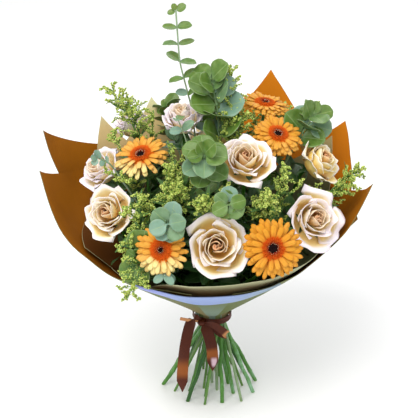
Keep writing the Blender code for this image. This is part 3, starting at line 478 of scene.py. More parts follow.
class GeometryTree(Tree):
    """A geometry tree with named inputs. It ends in plain geometry with the finish that it is given."""

    def __init__(self, name, *inputs):
        super().__init__(bpy.data.node_groups.new(name, "GeometryNodeTree"))
        sockets = self.nodes.interface
        sockets.new_socket("Geometry", in_out="OUTPUT", socket_type="NodeSocketGeometry")
        sockets.new_socket("Geometry", in_out="INPUT", socket_type="NodeSocketGeometry")
        for title, kind, value in inputs:
            socket = sockets.new_socket(title, in_out="INPUT", socket_type="NodeSocket" + kind)
            if value is not None:
                socket.default_value = value
        self.source = self.nodes.nodes.new("NodeGroupInput")

    def given(self, name):
        return Socket(self, next(socket for socket in self.source.outputs if socket.name == name))

    def own(self, name, kind="FLOAT_VECTOR"):
        """A value that each point carries."""
        return self.add("GeometryNodeInputNamedAttribute", {"data_type": kind}, name)

    def closed(self, geometry):
        real = self.add("GeometryNodeRealizeInstances", None, geometry)
        real = self.add("GeometryNodeSetMaterial", None, real, Material=self.given("Finish"))
        end = self.nodes.nodes.new("NodeGroupOutput")
        self.nodes.links.new(real.output, end.inputs[0])
        return self.nodes


# Surfaces, gathered as arrays.


class Surfaces:
    """Thin sheets and tubes gathered into one mesh, with values at their points."""

    def __init__(self):
        self.points = []
        self.faces = []
        self.slots = []
        self.values = {}
        self.count = 0

    def add_points(self, points, values):
        first = self.count
        self.points.append(points)
        for name in sorted({*self.values, *values}):
            column = self.values.setdefault(name, [np.zeros(first)] if first else [])
            value = np.broadcast_to(np.asarray(values.get(name, 0.0), float), (len(points),))
            column.append(value)
        self.count += len(points)
        return first

    def add_faces(self, faces, slot):
        self.faces += faces.tolist()
        self.slots += [slot] * len(faces)

    def sheet(self, grid, thickness, round_about=False, slots=(0, 0), row_slots=None, **values):
        """A closed thin body round a grid of middle points. slots are the finishes of its two faces."""
        rows, columns, _ = grid.shape
        if round_about:
            across = np.roll(grid, -1, 1) - np.roll(grid, 1, 1)
        else:
            across = np.gradient(grid, axis=1)
        normals = np.cross(across, np.gradient(grid, axis=0))
        normals /= np.linalg.norm(normals, axis=2, keepdims=True) + 1e-9
        half = np.broadcast_to(np.asarray(thickness, float), (rows, columns))[..., None] / 2
        both = np.concatenate([(grid + normals * half * way).reshape(-1, 3) for way in (1, -1)])
        spread = {}
        for name, value in values.items():
            flat = np.broadcast_to(np.asarray(value, float), (rows, columns)).ravel()
            spread[name] = np.concatenate([flat, flat])
        total = rows * columns
        spread["back"] = np.repeat((0.0, 1.0), total)
        first = self.add_points(both, spread)
        index = np.arange(total).reshape(rows, columns)
        if round_about:
            index = np.concatenate([index, index[:, :1]], 1)
        a, b = index[:-1, :-1], index[:-1, 1:]
        c, d = index[1:, 1:], index[1:, :-1]
        upper = np.stack([a, b, c, d], -1)
        lower = np.stack([d, c, b, a], -1) + total
        for row in range(rows - 1):
            chosen = row_slots(row) if row_slots else slots
            self.add_faces(upper[row] + first, chosen[0])
            self.add_faces(lower[row] + first, chosen[1])
        loops = [index[0], index[-1][::-1]]
        if not round_about:
            loops += [index[:, -1], index[::-1, 0]]
        for loop in loops:
            edge = np.stack([loop[1:], loop[:-1], loop[:-1] + total, loop[1:] + total], -1)
            self.add_faces(edge + first, slots[0])

    def made(self, name, materials, smooth_angle=None):
        """The gathered sheets as an object, in metres."""
        mesh = bpy.data.meshes.new(name)
        mesh.from_pydata((np.concatenate(self.points) * MM).tolist(), [], self.faces)
        for key, columns in self.values.items():
            attribute = mesh.attributes.new(key, "FLOAT", "POINT")
            attribute.data.foreach_set("value", np.concatenate(columns).astype(np.float32))
        for material in materials:
            mesh.materials.append(material)
        mesh.polygons.foreach_set("material_index", self.slots)
        mesh.shade_smooth()
        if smooth_angle:
            mesh.set_sharp_from_angle(angle=math.radians(smooth_angle))
        return linked(bpy.data.objects.new(name, mesh))


def linked(item):
    bpy.context.scene.collection.objects.link(item)
    return item


def plain(item, name):
    """The object's evaluated mesh as a new plain object."""
    graph = bpy.context.evaluated_depsgraph_get()
    mesh = bpy.data.meshes.new_from_object(item.evaluated_get(graph))
    bpy.data.objects.remove(item)
    mesh.name = name
    return linked(bpy.data.objects.new(name, mesh))


def with_tree(item, tree, name, **inputs):
    """Runs a geometry tree on an object, with its inputs by name, and returns the plain result."""
    modifier = item.modifiers.new("grow", "NODES")
    modifier.node_group = tree
    for socket in tree.interface.items_tree:
        if socket.in_out == "INPUT" and socket.name in inputs:
            modifier[socket.identifier] = inputs[socket.name]
    return plain(item, name)


def scatter_tree():
    """Puts a shape on every point, turned and sized as the point's own values say, with a small wobble."""
    tree = GeometryTree(
        "scatter",
        ("Shape", "Object", None),
        ("Finish", "Material", None),
        ("Wobble", "Float", 0.1),
        ("Seed", "Int", 1),
    )
    shape = tree.add("GeometryNodeObjectInfo", None, tree.given("Shape"), output=4)
    turn = tree.add("FunctionNodeEulerToRotation", None, tree.own("turn"))
    wobble = tree.given("Wobble")
    low = tree.add("ShaderNodeCombineXYZ", None, -1 * wobble, -1 * wobble, -1 * wobble)
    high = tree.add("ShaderNodeCombineXYZ", None, wobble, wobble, wobble)
    random_value = {"data_type": "FLOAT_VECTOR"}
    shake = tree.add("FunctionNodeRandomValue", random_value, low, high, Seed=tree.given("Seed"))
    shake = tree.add("FunctionNodeEulerToRotation", None, shake)
    turn = tree.add("FunctionNodeRotateRotation", {"rotation_space": "LOCAL"}, turn, shake)
    shapes = tree.add(
        "GeometryNodeInstanceOnPoints",
        None,
        Points=tree.given("Geometry"),
        Instance=shape,
        Rotation=turn,
        Scale=tree.own("size"),
    )
    return tree.closed(shapes)


def stem_tree():
    """Runs a round stem along every line, as thick as the line's own values say, and a little uneven."""
    tree = GeometryTree(
        "stem",
        ("Finish", "Material", None),
        ("Sides", "Int", 10),
        ("Step", "Float", 0.003),
        ("Unevenness", "Float", 0.12),
    )
    line = tree.add("GeometryNodeMeshToCurve", None, tree.given("Geometry"))
    line = tree.add("GeometryNodeResampleCurve", {"mode": "LENGTH"}, line, Length=tree.given("Step"))
    grain = tree.add("ShaderNodeTexNoise", None, Scale=90.0, Detail=2.0)
    uneven = (grain - 0.5) * tree.given("Unevenness") * 2 + 1
    ring = tree.add("GeometryNodeCurvePrimitiveCircle", None, tree.given("Sides"), Radius=1.0)
    thick = tree.own("radius", "FLOAT") * uneven
    return tree.closed(tree.add("GeometryNodeCurveToMesh", None, line, ring, Scale=thick, Fill_Caps=True))


SCATTER = scatter_tree()
STEM = stem_tree()


def point_mesh(name, points, edges, **values):
    """Loose points or lines, in metres, with values for a geometry tree to read."""
    mesh = bpy.data.meshes.new(name)
    mesh.from_pydata([Vector(p) * MM for p in points], edges, [])
    for key, value in values.items():
        flat = np.asarray(value, np.float32)
        kind = "FLOAT_VECTOR" if flat.ndim == 2 else "FLOAT"
        attribute = mesh.attributes.new(key, kind, "POINT")
        attribute.data.foreach_set("vector" if flat.ndim == 2 else "value", flat.ravel())
    return linked(bpy.data.objects.new(name, mesh))


def scattered(name, shape, places, finish, wobble=0.0, seed=1):
    """The shape at every place. A place is (point, rotation matrix, size, tint)."""
    points = [place[0] for place in places]
    turns = [tuple(place[1].to_euler()) for place in places]
    sizes = [Vector(place[2] if isinstance(place[2], tuple) else (place[2],) * 3) * MM for place in places]
    seeds = point_mesh(name, points, [], turn=turns, size=sizes, tint=[place[3] for place in places])
    return with_tree(seeds, SCATTER, name, Shape=shape, Finish=finish, Wobble=wobble, Seed=seed)


def stems_along(name, lines, finish, sides=10, step=3.0, unevenness=0.08):
    """Round stems along lines, cut level with the ground. A line is (points, radii, tint)."""
    points, edges, radii, tints = [], [], [], []
    for path, widths, tint in lines:
        first = len(points)
        points += path
        radii += [width * MM for width in widths]
        tints += [tint] * len(path)
        edges += [(first + k, first + k + 1) for k in range(len(path) - 1)]
    seeds = point_mesh(name, points, edges, radius=radii, tint=tints)
    made = with_tree(seeds, STEM, name, Finish=finish, Sides=sides, Step=step * MM, Unevenness=unevenness)
    for vertex in made.data.vertices:
        vertex.co.z = max(vertex.co.z, 0.0)
    made.data.shade_smooth()
    return made


def joined(name, parts):
    """One object from several, with their finishes and values kept."""
    with bpy.context.temp_override(active_object=parts[0], selected_editable_objects=parts):
        bpy.ops.object.join()
    parts[0].name = name
    parts[0].data.name = name
    return parts[0]


# Paths and places.


def curve_through(points, steps):
    """A smooth path through the points, with so many steps between each two."""
    points = [Vector(p) for p in points]
    ends = [points[0] * 2 - points[1], *points, points[-1] * 2 - points[-2]]
    path = [points[0]]
    for i in range(1, len(ends) - 2):
        before, here, there, after = ends[i - 1 : i + 3]
        for step in range(1, steps + 1):
            t = step / steps
            pull = (there - before) * t + (2 * before - 5 * here + 4 * there - after) * t**2
            pull += (3 * here - before - 3 * there + after) * t**3
            path.append(here + pull * 0.5)
    return path


def path_length(path):
    return sum((b - a).length for a, b in zip(path, path[1:]))


def point_along(path, share):
    """(point, direction) at a share of a path's length."""
    left = share * path_length(path)
    for a, b in zip(path, path[1:]):
        length = (b - a).length
        if left <= length:
            break
        left -= length
    return a + (b - a) * min(left / length, 1.0), (b - a).normalized()


def placed(base, facing, turn=0.0):
    """The matrix that stands a flower's own +Z along facing, at base, turned about it."""
    upright = UP.rotation_difference(facing.normalized()).to_matrix().to_4x4()
    return Matrix.Translation(base) @ upright @ Matrix.Rotation(turn, 4, "Z")


def spoke(turn, rise=0.0):
    """The way out from a flower's axis at a turn about it."""
    return Vector((math.cos(turn), math.sin(turn), rise))


def beside(along, turn):
    """A direction square to along, turned about it."""
    return Matrix.Rotation(turn, 3, along) @ along.orthogonal().normalized()


def axes(along, normal):
    """The rotation that lays a shape's +X along one direction and its +Z near another."""
    along = along.normalized()
    side = normal.cross(along).normalized()
    return Matrix((along, side, along.cross(side))).transposed()


def moved(grid, matrix):
    """An array of points moved by a matrix."""
    turned = grid @ np.array(matrix.to_3x3()).T
    return turned + np.array(matrix.translation)


def flower_base(face, facing, depth):
    return Vector(face) - Vector(facing).normalized() * depth


def rose_base(face, facing, radius):
    return flower_base(face, facing, ROSE_DEPTH * radius / ROSE_FULL_RADIUS)


def gerbera_stand(name, turn=0.0):
    face, facing, *_ = GERBERAS[name]
    return placed(flower_base(face, facing, GERBERA_DEPTH), Vector(facing), turn)


def flower_stem_points(base, facing):
    """The points above the waist that a flower's stem runs through, up to the flower's base."""
    facing = Vector(facing).normalized()
    shoulder = base - facing * STEM_SHOULDER[0] - UP * STEM_SHOULDER[1]
    return [shoulder - facing * STEM_APPROACH[0] - UP * STEM_APPROACH[1], shoulder, base]


def stem_path(node, upper_points):
    """A stem from the foot of its solid through the tie to its tip."""
    feet = [v.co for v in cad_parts[node].data.vertices if v.co.z < 0.0001]
    foot = sum(feet, Vector()) / len(feet) / MM
    seat = complex(foot.x, foot.y) / (1 - 1j * SPIRAL_BELOW * WAIST_HEIGHT)
    above = seat * (1 + 1j * SPIRAL_ABOVE * (SPIRAL_LEVEL - WAIST_HEIGHT))
    path = [Vector((foot.x, foot.y, 0)), Vector((seat.real, seat.imag, WAIST_HEIGHT))]
    path.append(Vector((above.real, above.imag, SPIRAL_LEVEL)))
    return path + [Vector(p) for p in upper_points]


def softened(path, spacing=6.0):
    """The same path with points at even steps and its corners eased."""
    count = max(int(path_length(path) / spacing), 4)
    even = [point_along(path, k / count)[0] for k in range(count + 1)]
    for _ in range(3):
        inner = [(a + b * 2 + c) / 4 for a, b, c in zip(even, even[1:], even[2:])]
        even = [even[0], *inner, even[-1]]
    return even


def tapered(path, thick, thin):
    """Radii that fall evenly along a path."""
    return [mix(thick, thin, k / len(path)) for k in range(len(path))]


def thinned(line, thick, thin):
    """Radii of a main stem, which grows thinner above the tie."""
    return [mix(thick, thin, eased((point.z - WAIST_HEIGHT) / STEM_THINS_OVER)) for point in line]


# The blooms, which leaves and buds keep out of: (matrix into the bloom, radius, lowest, highest).
FLOWERS = []
for face, facing, radius, *_ in ROSES.values():
    stand = placed(rose_base(face, facing, radius), Vector(facing))
    FLOWERS.append((stand.inverted(), radius, 0.0, 0.9 * radius))
for name, (face, facing, radius, *_) in GERBERAS.items():
    FLOWERS.append((gerbera_stand(name).inverted(), radius, -3.0, 9.0))


def clear_of_flowers(point, reach):
    """Whether a point lies outside every bloom. reach is the share of a bloom's radius that counts."""
    for inverse, radius, low, high in FLOWERS:
        local = inverse @ point
        if low < local.z < high and math.hypot(local.x, local.y) < radius * reach:
            return False
    return True


# The lining's wall at every few degrees, found when it is asked for, and how far leaves keep from it.
WALLS = {}
WALL_STEP = 10
WALL_MARGIN = 4


def inside_wrap(point):
    """Whether a point lies inside the lining, or above its rim."""
    azimuth = round(math.degrees(math.atan2(point.y, point.x)) / WALL_STEP) * WALL_STEP % 360
    if azimuth not in WALLS:
        *_, corners, lowest = SHEETS["lining"]
        rim = rim_slant(azimuth, corners, lowest - lining_dip(azimuth))
        WALLS[azimuth] = [wall_point(azimuth, rim * k / 30, 0) for k in range(31)]
    wall = WALLS[azimuth]
    if point.z > wall[-1].z:
        return True
    level = min(wall, key=lambda spot: abs(spot.z - point.z))
    return math.hypot(point.x, point.y) < math.hypot(level.x, level.y) - WALL_MARGIN


def room_for(root, heading, length):
    """Whether a leaf passes neither through a bloom nor through the wrap."""
    spots = [root + heading * length * share for share in (0.45, 0.75, 1.05)]
    return all(clear_of_flowers(spot, 1.1) and inside_wrap(spot) for spot in spots)


class Solid:
    """The solid of a node, to find which of several choices was built."""

    def __init__(self, node):
        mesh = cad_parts[node].data
        corners = [vertex.co / MM for vertex in mesh.vertices]
        self.tree = BVHTree.FromPolygons(corners, [face.vertices for face in mesh.polygons])

    def away(self, points):
        return sum(self.tree.find_nearest(p)[3] for p in points) / len(points)

    def as_built(self, choices, limit):
        """The choice whose points lie nearest to the solid, or None if none of them lies on it."""
        best = min(choices, key=lambda choice: self.away(choice[0]))
        return best if self.away(best[0]) < limit else None


# Roses.


def petal_profile(v, layer, opened):
    """(distance from the axis, height) at share v of a petal's length. layer is 0 inside and 1 outside."""
    spread = layer * (0.55 + 0.45 * opened)
    foot = (4.6 if layer >= 0 else 2.6, 7.0 - 6.0 * layer)
    belly = (8.0 + 18.0 * spread, 12.0 - 12.0 * spread)
    shoulder = (9.0 + 20.0 * spread, 27.0 - 13.0 * spread)
    rim = (6.5 + 30.0 * spread, 35.0 - 19.0 * spread * layer)
    weights = ((1 - v) ** 3, 3 * v * (1 - v) ** 2, 3 * v * v * (1 - v), v**3)
    knots = (foot, belly, shoulder, rim)
    distance = sum(w * knot[0] for w, knot in zip(weights, knots))
    height = sum(w * knot[1] for w, knot in zip(weights, knots))
    return distance, height


def rose_petal(turn, half_width, layer, opened, size, draw):
    """Middle points of one cupped petal with a rolled lip, folded corners and a soft point."""
    v, u = leaf_grid(17, 15)
    outer = max(layer, 0.0)
    width = half_width * mix(0.38, 1.0, smooth(v / 0.8)) * (1 - 0.2 * smooth((v - 0.75) / 0.25))
    point = 0.13 * outer * np.exp(-(((u - 0.25 * draw.uniform(-1, 1)) / 0.2) ** 2)) * smooth((v - 0.6) / 0.4)
    along = v * (1 - 0.15 * u * u * v) + point
    distance, height = petal_profile(along, layer, opened)
    distance += PETAL_TUCK * (u + 0.5 * u * u) * smooth(v / 0.6) * mix(0.5, 1.05, outer)
    lean = draw.uniform(-1, 1)
    # The lip rolls out and down, most at the corners of the outer petals.
    roll = smooth((v - 0.74) / 0.26) ** 1.3 * (0.35 + 0.65 * u * u)
    distance += roll * mix(1.0, 4.2, outer)
    height -= roll * mix(0.4, 6.4, outer) * (0.8 + 0.3 * lean)
    phase = draw.uniform(0, 6.28)
    wave = np.sin(u * draw.uniform(3.2, 5.6) + phase) * smooth((v - 0.45) / 0.55)
    frill = np.sin(u * draw.uniform(9, 13) + phase * 2) * smooth((v - 0.8) / 0.2)
    height += wave * mix(0.6, 2.2, outer) + frill * mix(0.35, 0.8, outer)
    distance += wave * mix(0.5, 1.4, outer) + lean * mix(0.5, 0.9, outer) * smooth(v)
    # A shallow crease runs up the middle of the outer petals.
    distance += 1.0 * outer * np.exp(-((u / 0.22) ** 2)) * smooth(v / 0.5) * smooth((1 - v) / 0.3)
    # A bloom that has opened less stands taller.
    height *= 1 + TALL_BUD * max(0.0, 0.6 - opened)
    angle = turn + width * u
    points = np.stack([distance * np.cos(angle), distance * np.sin(angle), height], -1) * size
    return points, u, v


def rose_bloom(name, finish):
    face, facing, radius, opened, turn, blush, gold = ROSES[name]
    size = radius / ROSE_FULL_RADIUS
    stand = placed(rose_base(face, facing, radius), Vector(facing), math.radians(turn))
    draw = random.Random(name)
    bloom = Surfaces()
    start = 0.0
    for count, low, high, half_width in ROSE_WHORLS:
        for k in range(count):
            layer = mix(low, high, k / (count - 1))
            middle = start + 2 * math.pi * k / count + draw.uniform(-0.14, 0.14)
            half = math.radians(half_width * draw.uniform(0.9, 1.08))
            # The outer petals that hang lowest have grown the longest.
            hang = max(0.0, -(stand.to_3x3() @ spoke(middle)).z)
            grown = size * (1 + PETAL_HANG * hang * eased((layer - OUTER_PETALS_FROM) / 0.4))
            points, u, v = rose_petal(middle, half, layer, opened, grown, draw)
            own = {"layer": layer + 0.5, "tint": draw.uniform(0, 1), "blush": blush, "gold": gold}
            bloom.sheet(moved(points, stand), PETAL_THICKNESS, across=u, along=v, **own)
        start += WHORL_TURN + math.pi / count
    return bloom.made(name + "_petals", [finish])


# Leaves, as shapes of unit length along +X that a tree scatters.


def kept_shape(shape):
    """A shape a metre long, hidden, for a tree to scatter."""
    shape.data.transform(Matrix.Scale(1 / MM, 4))
    shape.hide_render = True
    return shape


def leaf_shape(name, outline, rows, columns, fold, droop, thickness, ripple=0.0):
    """A thin leaf. outline gives the half width at each share of the length."""
    v, u = leaf_grid(rows, columns)
    half = outline(v)
    y = u * half
    z = fold * np.abs(u) ** 1.4 * half - droop * v * v + ripple * np.sin(v * 17) * np.abs(u) ** 2
    body = Surfaces()
    body.sheet(np.stack([v, y, z], -1), thickness, across=u, along=v)
    return kept_shape(body.made(name, []))


def round_outline(v):
    stalk = 0.045
    blade = np.clip((v - 0.14) / 0.86, 0, 1)
    return stalk + 0.44 * np.sqrt(np.clip(1 - (2 * blade - 1) ** 2, 0, 1)) * (1 - 0.12 * blade)


def lance_outline(v):
    return 0.012 + 0.115 * np.sin(np.pi * np.clip(v, 0, 1) ** 0.75) ** 1.1


def rose_outline(v):
    teeth = 0.012 * ((v * 14) % 1)
    return 0.012 + 0.30 * np.sin(np.pi * np.clip((v - 0.04) / 0.96, 0, 1) ** 0.8) ** 0.9 + teeth


def sepal_outline(v):
    return 0.17 * (1 - v) ** 0.8 + 0.012


def ray_outline(v):
    """A strap petal, widest past its middle, with a blunt tip."""
    return 0.045 + 0.075 * smooth(v / 0.65) - 0.085 * smooth((v - 0.88) / 0.12) ** 1.5


def ray_shape():
    """A gerbera's strap petal with two long grooves and a notched tip."""
    v, u = leaf_grid(12, 7)
    notch = 0.022 * np.cos(u * math.pi * 1.6) * smooth((v - 0.7) / 0.3)
    groove = 0.02 * np.cos(u * math.pi * 2) * smooth(v / 0.2) * smooth((1 - v) / 0.15)
    z = groove - 0.045 * u * u * v + 0.10 * np.sin(v * math.pi * 0.55) - 0.12 * v * v
    body = Surfaces()
    body.sheet(np.stack([v + notch, u * ray_outline(v), z], -1), 0.02, across=u, along=v)
    return kept_shape(body.made("ray", []))


def bud_shape(name, rings, sides, waist):
    """A small closed bud along +X."""
    points = [(-0.5, 0, 0)]
    for ring in range(1, rings):
        turned = math.pi * ring / rings
        for k in range(sides):
            turn = 2 * math.pi * (k + 0.5 * (ring % 2)) / sides
            radius = waist * math.sin(turned)
            points.append((-0.5 * math.cos(turned), radius * math.cos(turn), radius * math.sin(turn)))
    points.append((0.5, 0, 0))
    faces = []
    for k in range(sides):
        after = (k + 1) % sides
        faces.append((0, 1 + after, 1 + k))
        end = 1 + (rings - 2) * sides
        faces.append((len(points) - 1, end + k, end + after))
        for ring in range(rings - 2):
            a, b = 1 + ring * sides + k, 1 + ring * sides + after
            c, d = b + sides, a + sides
            faces += [(a, b, d), (b, c, d)] if ring % 2 else [(a, b, c), (a, c, d)]
    mesh = bpy.data.meshes.new(name)
    mesh.from_pydata(points, [], faces)
    along = mesh.attributes.new("along", "FLOAT", "POINT")
    along.data.foreach_set("value", [p[0] + 0.5 for p in points])
    mesh.shade_smooth()
    shape = linked(bpy.data.objects.new(name, mesh))
    shape.hide_render = True
    return shape


ROUND_LEAF = leaf_shape("round_leaf", round_outline, 11, 9, 0.14, 0.06, 0.013, 0.006)
LANCE_LEAF = leaf_shape("lance_leaf", lance_outline, 9, 5, 0.35, 0.16, 0.014)
ROSE_LEAF = leaf_shape("rose_leaf_blade", rose_outline, 15, 7, 0.22, 0.14, 0.012, 0.008)
SEPAL_LEAF = leaf_shape("sepal_leaf", sepal_outline, 8, 5, 0.3, 0.35, 0.03)
RAY = ray_shape()
BUD = bud_shape("bud", 4, 5, 0.5)
FLORET = bud_shape("floret", 4, 4, 0.16)
SHAPES = [ROUND_LEAF, LANCE_LEAF, ROSE_LEAF, SEPAL_LEAF, RAY, BUD, FLORET]


# Gerberas.


def gerbera_rays(name, finish):
    """Three whorls of strap petals, each shorter and higher than the one below it."""
    *_, radius, pale, spread = GERBERAS[name]
    stand = gerbera_stand(name, radius)
    draw = random.Random(name)
    places = []
    for count, length, lift, height, start in RAY_WHORLS:
        count = int(count * spread)
        for k in range(count):
            turn = start + 2 * math.pi * k / count + draw.uniform(-0.06, 0.06)
            tilt = math.radians(lift + draw.uniform(-6, 6))
            flat = math.cos(tilt)
            outward = Vector((math.cos(turn) * flat, math.sin(turn) * flat, math.sin(tilt)))
            root = spoke(turn) * RAY_ROOT + UP * height
            reach = radius * length * draw.uniform(0.92, 1.02) - RAY_ROOT
            rotation = stand.to_3x3() @ axes(outward, UP)
            width = draw.uniform(23, 29)
            # Rays that point down are paler.
            below = eased((-(rotation @ Vector((1, 0, 0))).z + 0.1) / 0.8)
            tint = min(1.0, pale * mix(0.55, 1.6, below) + draw.uniform(-0.1, 0.15))
            places.append((stand @ root, rotation, (reach, width, reach), max(tint, 0.0)))
    return scattered(name + "_petals", RAY, places, finish, 0.06, 7)


def gerbera_heart(name, finish):
    """Short florets in a spiral on a low disc: orange-red outside, cream stamens, and a low dark eye."""
    eye = EYES.get(name, 0.34)
    stand = gerbera_stand(name)
    draw = random.Random(name + "heart")
    reach = GERBERAS[name][2] * HEART_REACH
    places = []
    for number in range(HEART_FLORETS):
        share = math.sqrt((number + 0.5) / HEART_FLORETS)
        outward = spoke(number * GOLDEN_ANGLE)
        shade = share / eye * 0.3 if share < eye else mix(0.36, 1.0, (share - eye) / (1 - eye))
        open_share = eased((share - eye) / 0.14 + 0.5)
        height = mix(4.2, 5.6, open_share) - 3.2 * eased((share - 0.60) / 0.40)
        heading = UP + outward * mix(0.1, 1.9, share)
        length = mix(2.0, 6.2, open_share) * draw.uniform(0.75, 1.2)
        point = outward * reach * share + UP * height
        rotation = stand.to_3x3() @ axes(heading, outward.cross(UP))
        places.append((stand @ point, rotation, length, shade))
    for number in range(STAMENS):
        outward = spoke(2 * math.pi * number / STAMENS)
        point = outward * reach * (eye + draw.uniform(-0.05, 0.09)) + UP * STAMEN_HEIGHT
        rotation = stand.to_3x3() @ axes(UP + outward * 0.3, outward.cross(UP))
        places.append((stand @ point, rotation, STAMEN_SIZE, STAMEN_TINT))
    florets = scattered(name + "_heart_florets", FLORET, places, finish, 0.2, 3)
    v, u = np.meshgrid(np.linspace(0.02, 1, 5), full_turn(20), indexing="ij")
    height = mix(DISC_TOP, DISC_RIM, v**2.2)
    grid = np.stack([DISC_RADIUS * v * np.cos(u), DISC_RADIUS * v * np.sin(u), height], -1)
    disc = Surfaces()
    disc.sheet(moved(grid, stand), DISC_THICKNESS, True, tint=0.2, along=0.0)
    return joined(name + "_florets", [florets, disc.made(name + "_disc", [finish])])


# Eucalyptus.


def leaf_pair_points(root, along, outward, radius):
    """Middle points of the two leaves of a pair, as the solid has them."""
    length = 2.1 * radius
    points = []
    for side in (-1, 1):
        heading = (outward * side + along * LEAF_RISE).normalized()
        for share in (0.5, 0.7, 0.9):
            points.append(root + heading * length * share + along * LEAF_DISH * length * share * share)
    return points


def eucalyptus(name, leaf_finish, stem_finish):
    """A stem with pairs of round leaves, which stand close together near its tip."""
    upper, radius, low, high, start, pairs = EUCALYPTUS[name]
    young, span, rise, growth, flat, face = YOUNG_LEAVES[name]
    solid = Solid(name)
    path = stem_path(name, upper)
    draw = random.Random(name)
    glaucous = GLAUCOUS.get(name, 0.15)
    places = []

    def add_pair(root, along, outward, leaf_radius, steep, tint, narrow=1.0, toward=face):
        for direction in (-1, 1):
            heading = (outward * direction + along * steep * draw.uniform(0.6, 1.4)).normalized()
            length = leaf_radius * LEAF_LENGTH * draw.uniform(0.9, 1.08)
            if clear_of_flowers(root + heading * length * 0.75, 0.95):
                # Some leaves get a paler blue-grey tint: waxy bloom, and partly painted highlight.
                waxy_and_highlight = WAXY_HIGHLIGHT_LEAF if draw.random() < WAXY_HIGHLIGHT_SHARE else 0.0
                shade = min(1.0, max(0.0, tint + waxy_and_highlight + draw.uniform(-0.22, 0.22)))
                breadth = length * draw.uniform(0.92, 1.16) * narrow
                size = (length, breadth, length * draw.uniform(0.5, 2.0))
                # Narrow leaves have no stalk and sit close on the stem.
                base = root - heading * length * LEAF_STALK * (narrow < 0.9)
                places.append((base, axes(heading, along + FRONT * toward), size, shade))

    for pair in range(pairs):
        upward = pair / (pairs - 1)
        size = mix(low, high, upward)
        root, along = point_along(path, mix(start, 0.96, upward))
        choices = []
        for tried in [size * shrink for shrink in (1, 0.85, 0.7, 0.55)]:
            for swing in (0, 20, -20, 40, -40, 60, -60, 90):
                outward = beside(along, math.radians(90 * pair + swing + 30))
                choices.append((leaf_pair_points(root, along, outward, tried), outward, tried))
        built = solid.as_built(choices, 2.5)
        if built:
            outward = Vector((built[1].x, built[1].y * flat, built[1].z)).normalized()
            grown = mix(1.0, growth, upward) if flat < 1 else 1.0
            add_pair(root, along, outward, built[2] * grown, LEAF_RISE, glaucous, mix(0.5, 1.0, flat))
    # The young leaves stand close above each other.
    total = path_length(path)
    for number in range(young):
        root, along = point_along(path, 1 - span / total * (young - 1 - number) / young)
        size = mix(low, high, 0.5) * mix(1.0, 0.8, number / young) * growth
        add_pair(root, along, beside(along, number * YOUNG_LEAF_TURN + 0.4), size, rise, glaucous)
    tip, along = point_along(path, 1.0)
    for turn, share in TIP_LEAVES:
        heading = Matrix.Rotation(math.radians(turn), 3, "Y") @ along
        length = high * TIP_LEAF_LENGTH * share
        places.append((tip, axes(heading, along + FRONT * 1.6), (length, length * 0.85, length), glaucous))
    line = softened(path)
    lines = [(line, thinned(line, radius, 1.1), max(glaucous, 1 - flat))]
    if name in SIDE_TWIGS:
        fork, points, leaf_radius, count, reach, tint = SIDE_TWIGS[name]
        twig = curve_through([point_along(path, fork)[0], *points], 8)
        lines.append((twig, tapered(twig, 1.3, 0.7), tint))
        total = path_length(twig)
        for number in range(count):
            root, along = point_along(twig, 1 - reach / total * (count - 1 - number) / count)
            outward = Matrix.Rotation(number * 1.3, 3, along) @ along.cross(Vector((0, 1, 0))).normalized()
            add_pair(root, along, outward, leaf_radius, 0.4, tint, 0.62, 1.5)
    leaves = scattered(name + "_leaves", ROUND_LEAF, places, leaf_finish, 0.24, 5)
    stem = stems_along(name + "_stem", lines, stem_finish)
    return joined(name + "_spray", [leaves, stem])


# Solidago in bud.


def plume_path(start, tip):
    reach = tip - start
    return curve_through([start, (start + tip) / 2 + UP * reach.length * PLUME_BOW, tip], 6)


def swung(root, tip, degrees, side):
    """The tip of a branch from root, swung up (side 0) or to one side (1 or -1)."""
    reach = tip - root
    axis = UP if side else reach.cross(UP)
    return root + Matrix.Rotation(math.radians(degrees * (side or 1)), 3, axis.normalized()) @ reach


def plume_buds(path, draw, bare, reach):
    """Places of the buds round a plume above its bare foot, thinning out to one at its tip."""
    places = []
    knots = max(int(path_length(path) * (1 - bare) / BUD_SPACING), 3)
    for knot in range(knots + 1):
        root, along = point_along(path, mix(bare, 1.0, knot / knots))
        for k in range(2):
            outward = beside(along, knot * 2.2 + k * math.pi + draw.uniform(-0.5, 0.5))
            distance = reach * draw.uniform(0.3, 1.0) * (1 - 0.5 * knot / knots)
            point = root + outward * distance + along * draw.uniform(-1, 1)
            if clear_of_flowers(point, 1.0):
                heading = (outward + along * 0.9 + UP * 0.4).normalized()
                places.append((point, axes(heading, along), draw.uniform(1.5, 2.5), draw.random()))
    return places


def add_plume(line, number, reach, draw, lines, buds, leaves):
    """Adds a plume's twigs with their forks and buds, and a few leaves low on it, to the three lists."""
    for k in range(TWIGS):
        share = k / (TWIGS - 1)
        begin, along = point_along(line, mix(0.22, 0.93, share))
        outward = beside(along, k * GOLDEN_ANGLE + number)
        heading = (outward * 1.1 + along * 0.8 + UP * 0.25).normalized()
        length = mix(0.42, 0.17, share) * reach * draw.uniform(0.8, 1.1)
        twig = plume_path(begin, begin + heading * length)
        if not all(clear_of_flowers(point, 1.05) for point in twig):
            continue
        lines.append((twig, tapered(twig, 0.6, 0.3), TWIG_TINT))
        buds += plume_buds(twig, draw, 0.3, 2.4)
        for j in range(FORKS):
            fork, forward = point_along(twig, mix(0.3, 0.85, j / (FORKS - 1)))
            way = (beside(forward, j * 2.4 + k) * 1.2 + forward + UP * 0.2).normalized()
            end = fork + way * length * draw.uniform(0.3, 0.42)
            if clear_of_flowers(end, 1.05):
                small = [fork, (fork + end) / 2 + UP * 0.4, end]
                lines.append((small, [0.35, 0.3, 0.25], TWIG_TINT))
                buds += plume_buds(small, draw, 0.35, 1.9)
        if k % 2 == 0 and k < TWIGS * LEAFY_SHARE and room_for(begin, heading, PLUME_LEAF[1]):
            leaves.append((begin, axes(heading, along), draw.uniform(*PLUME_LEAF), draw.random()))


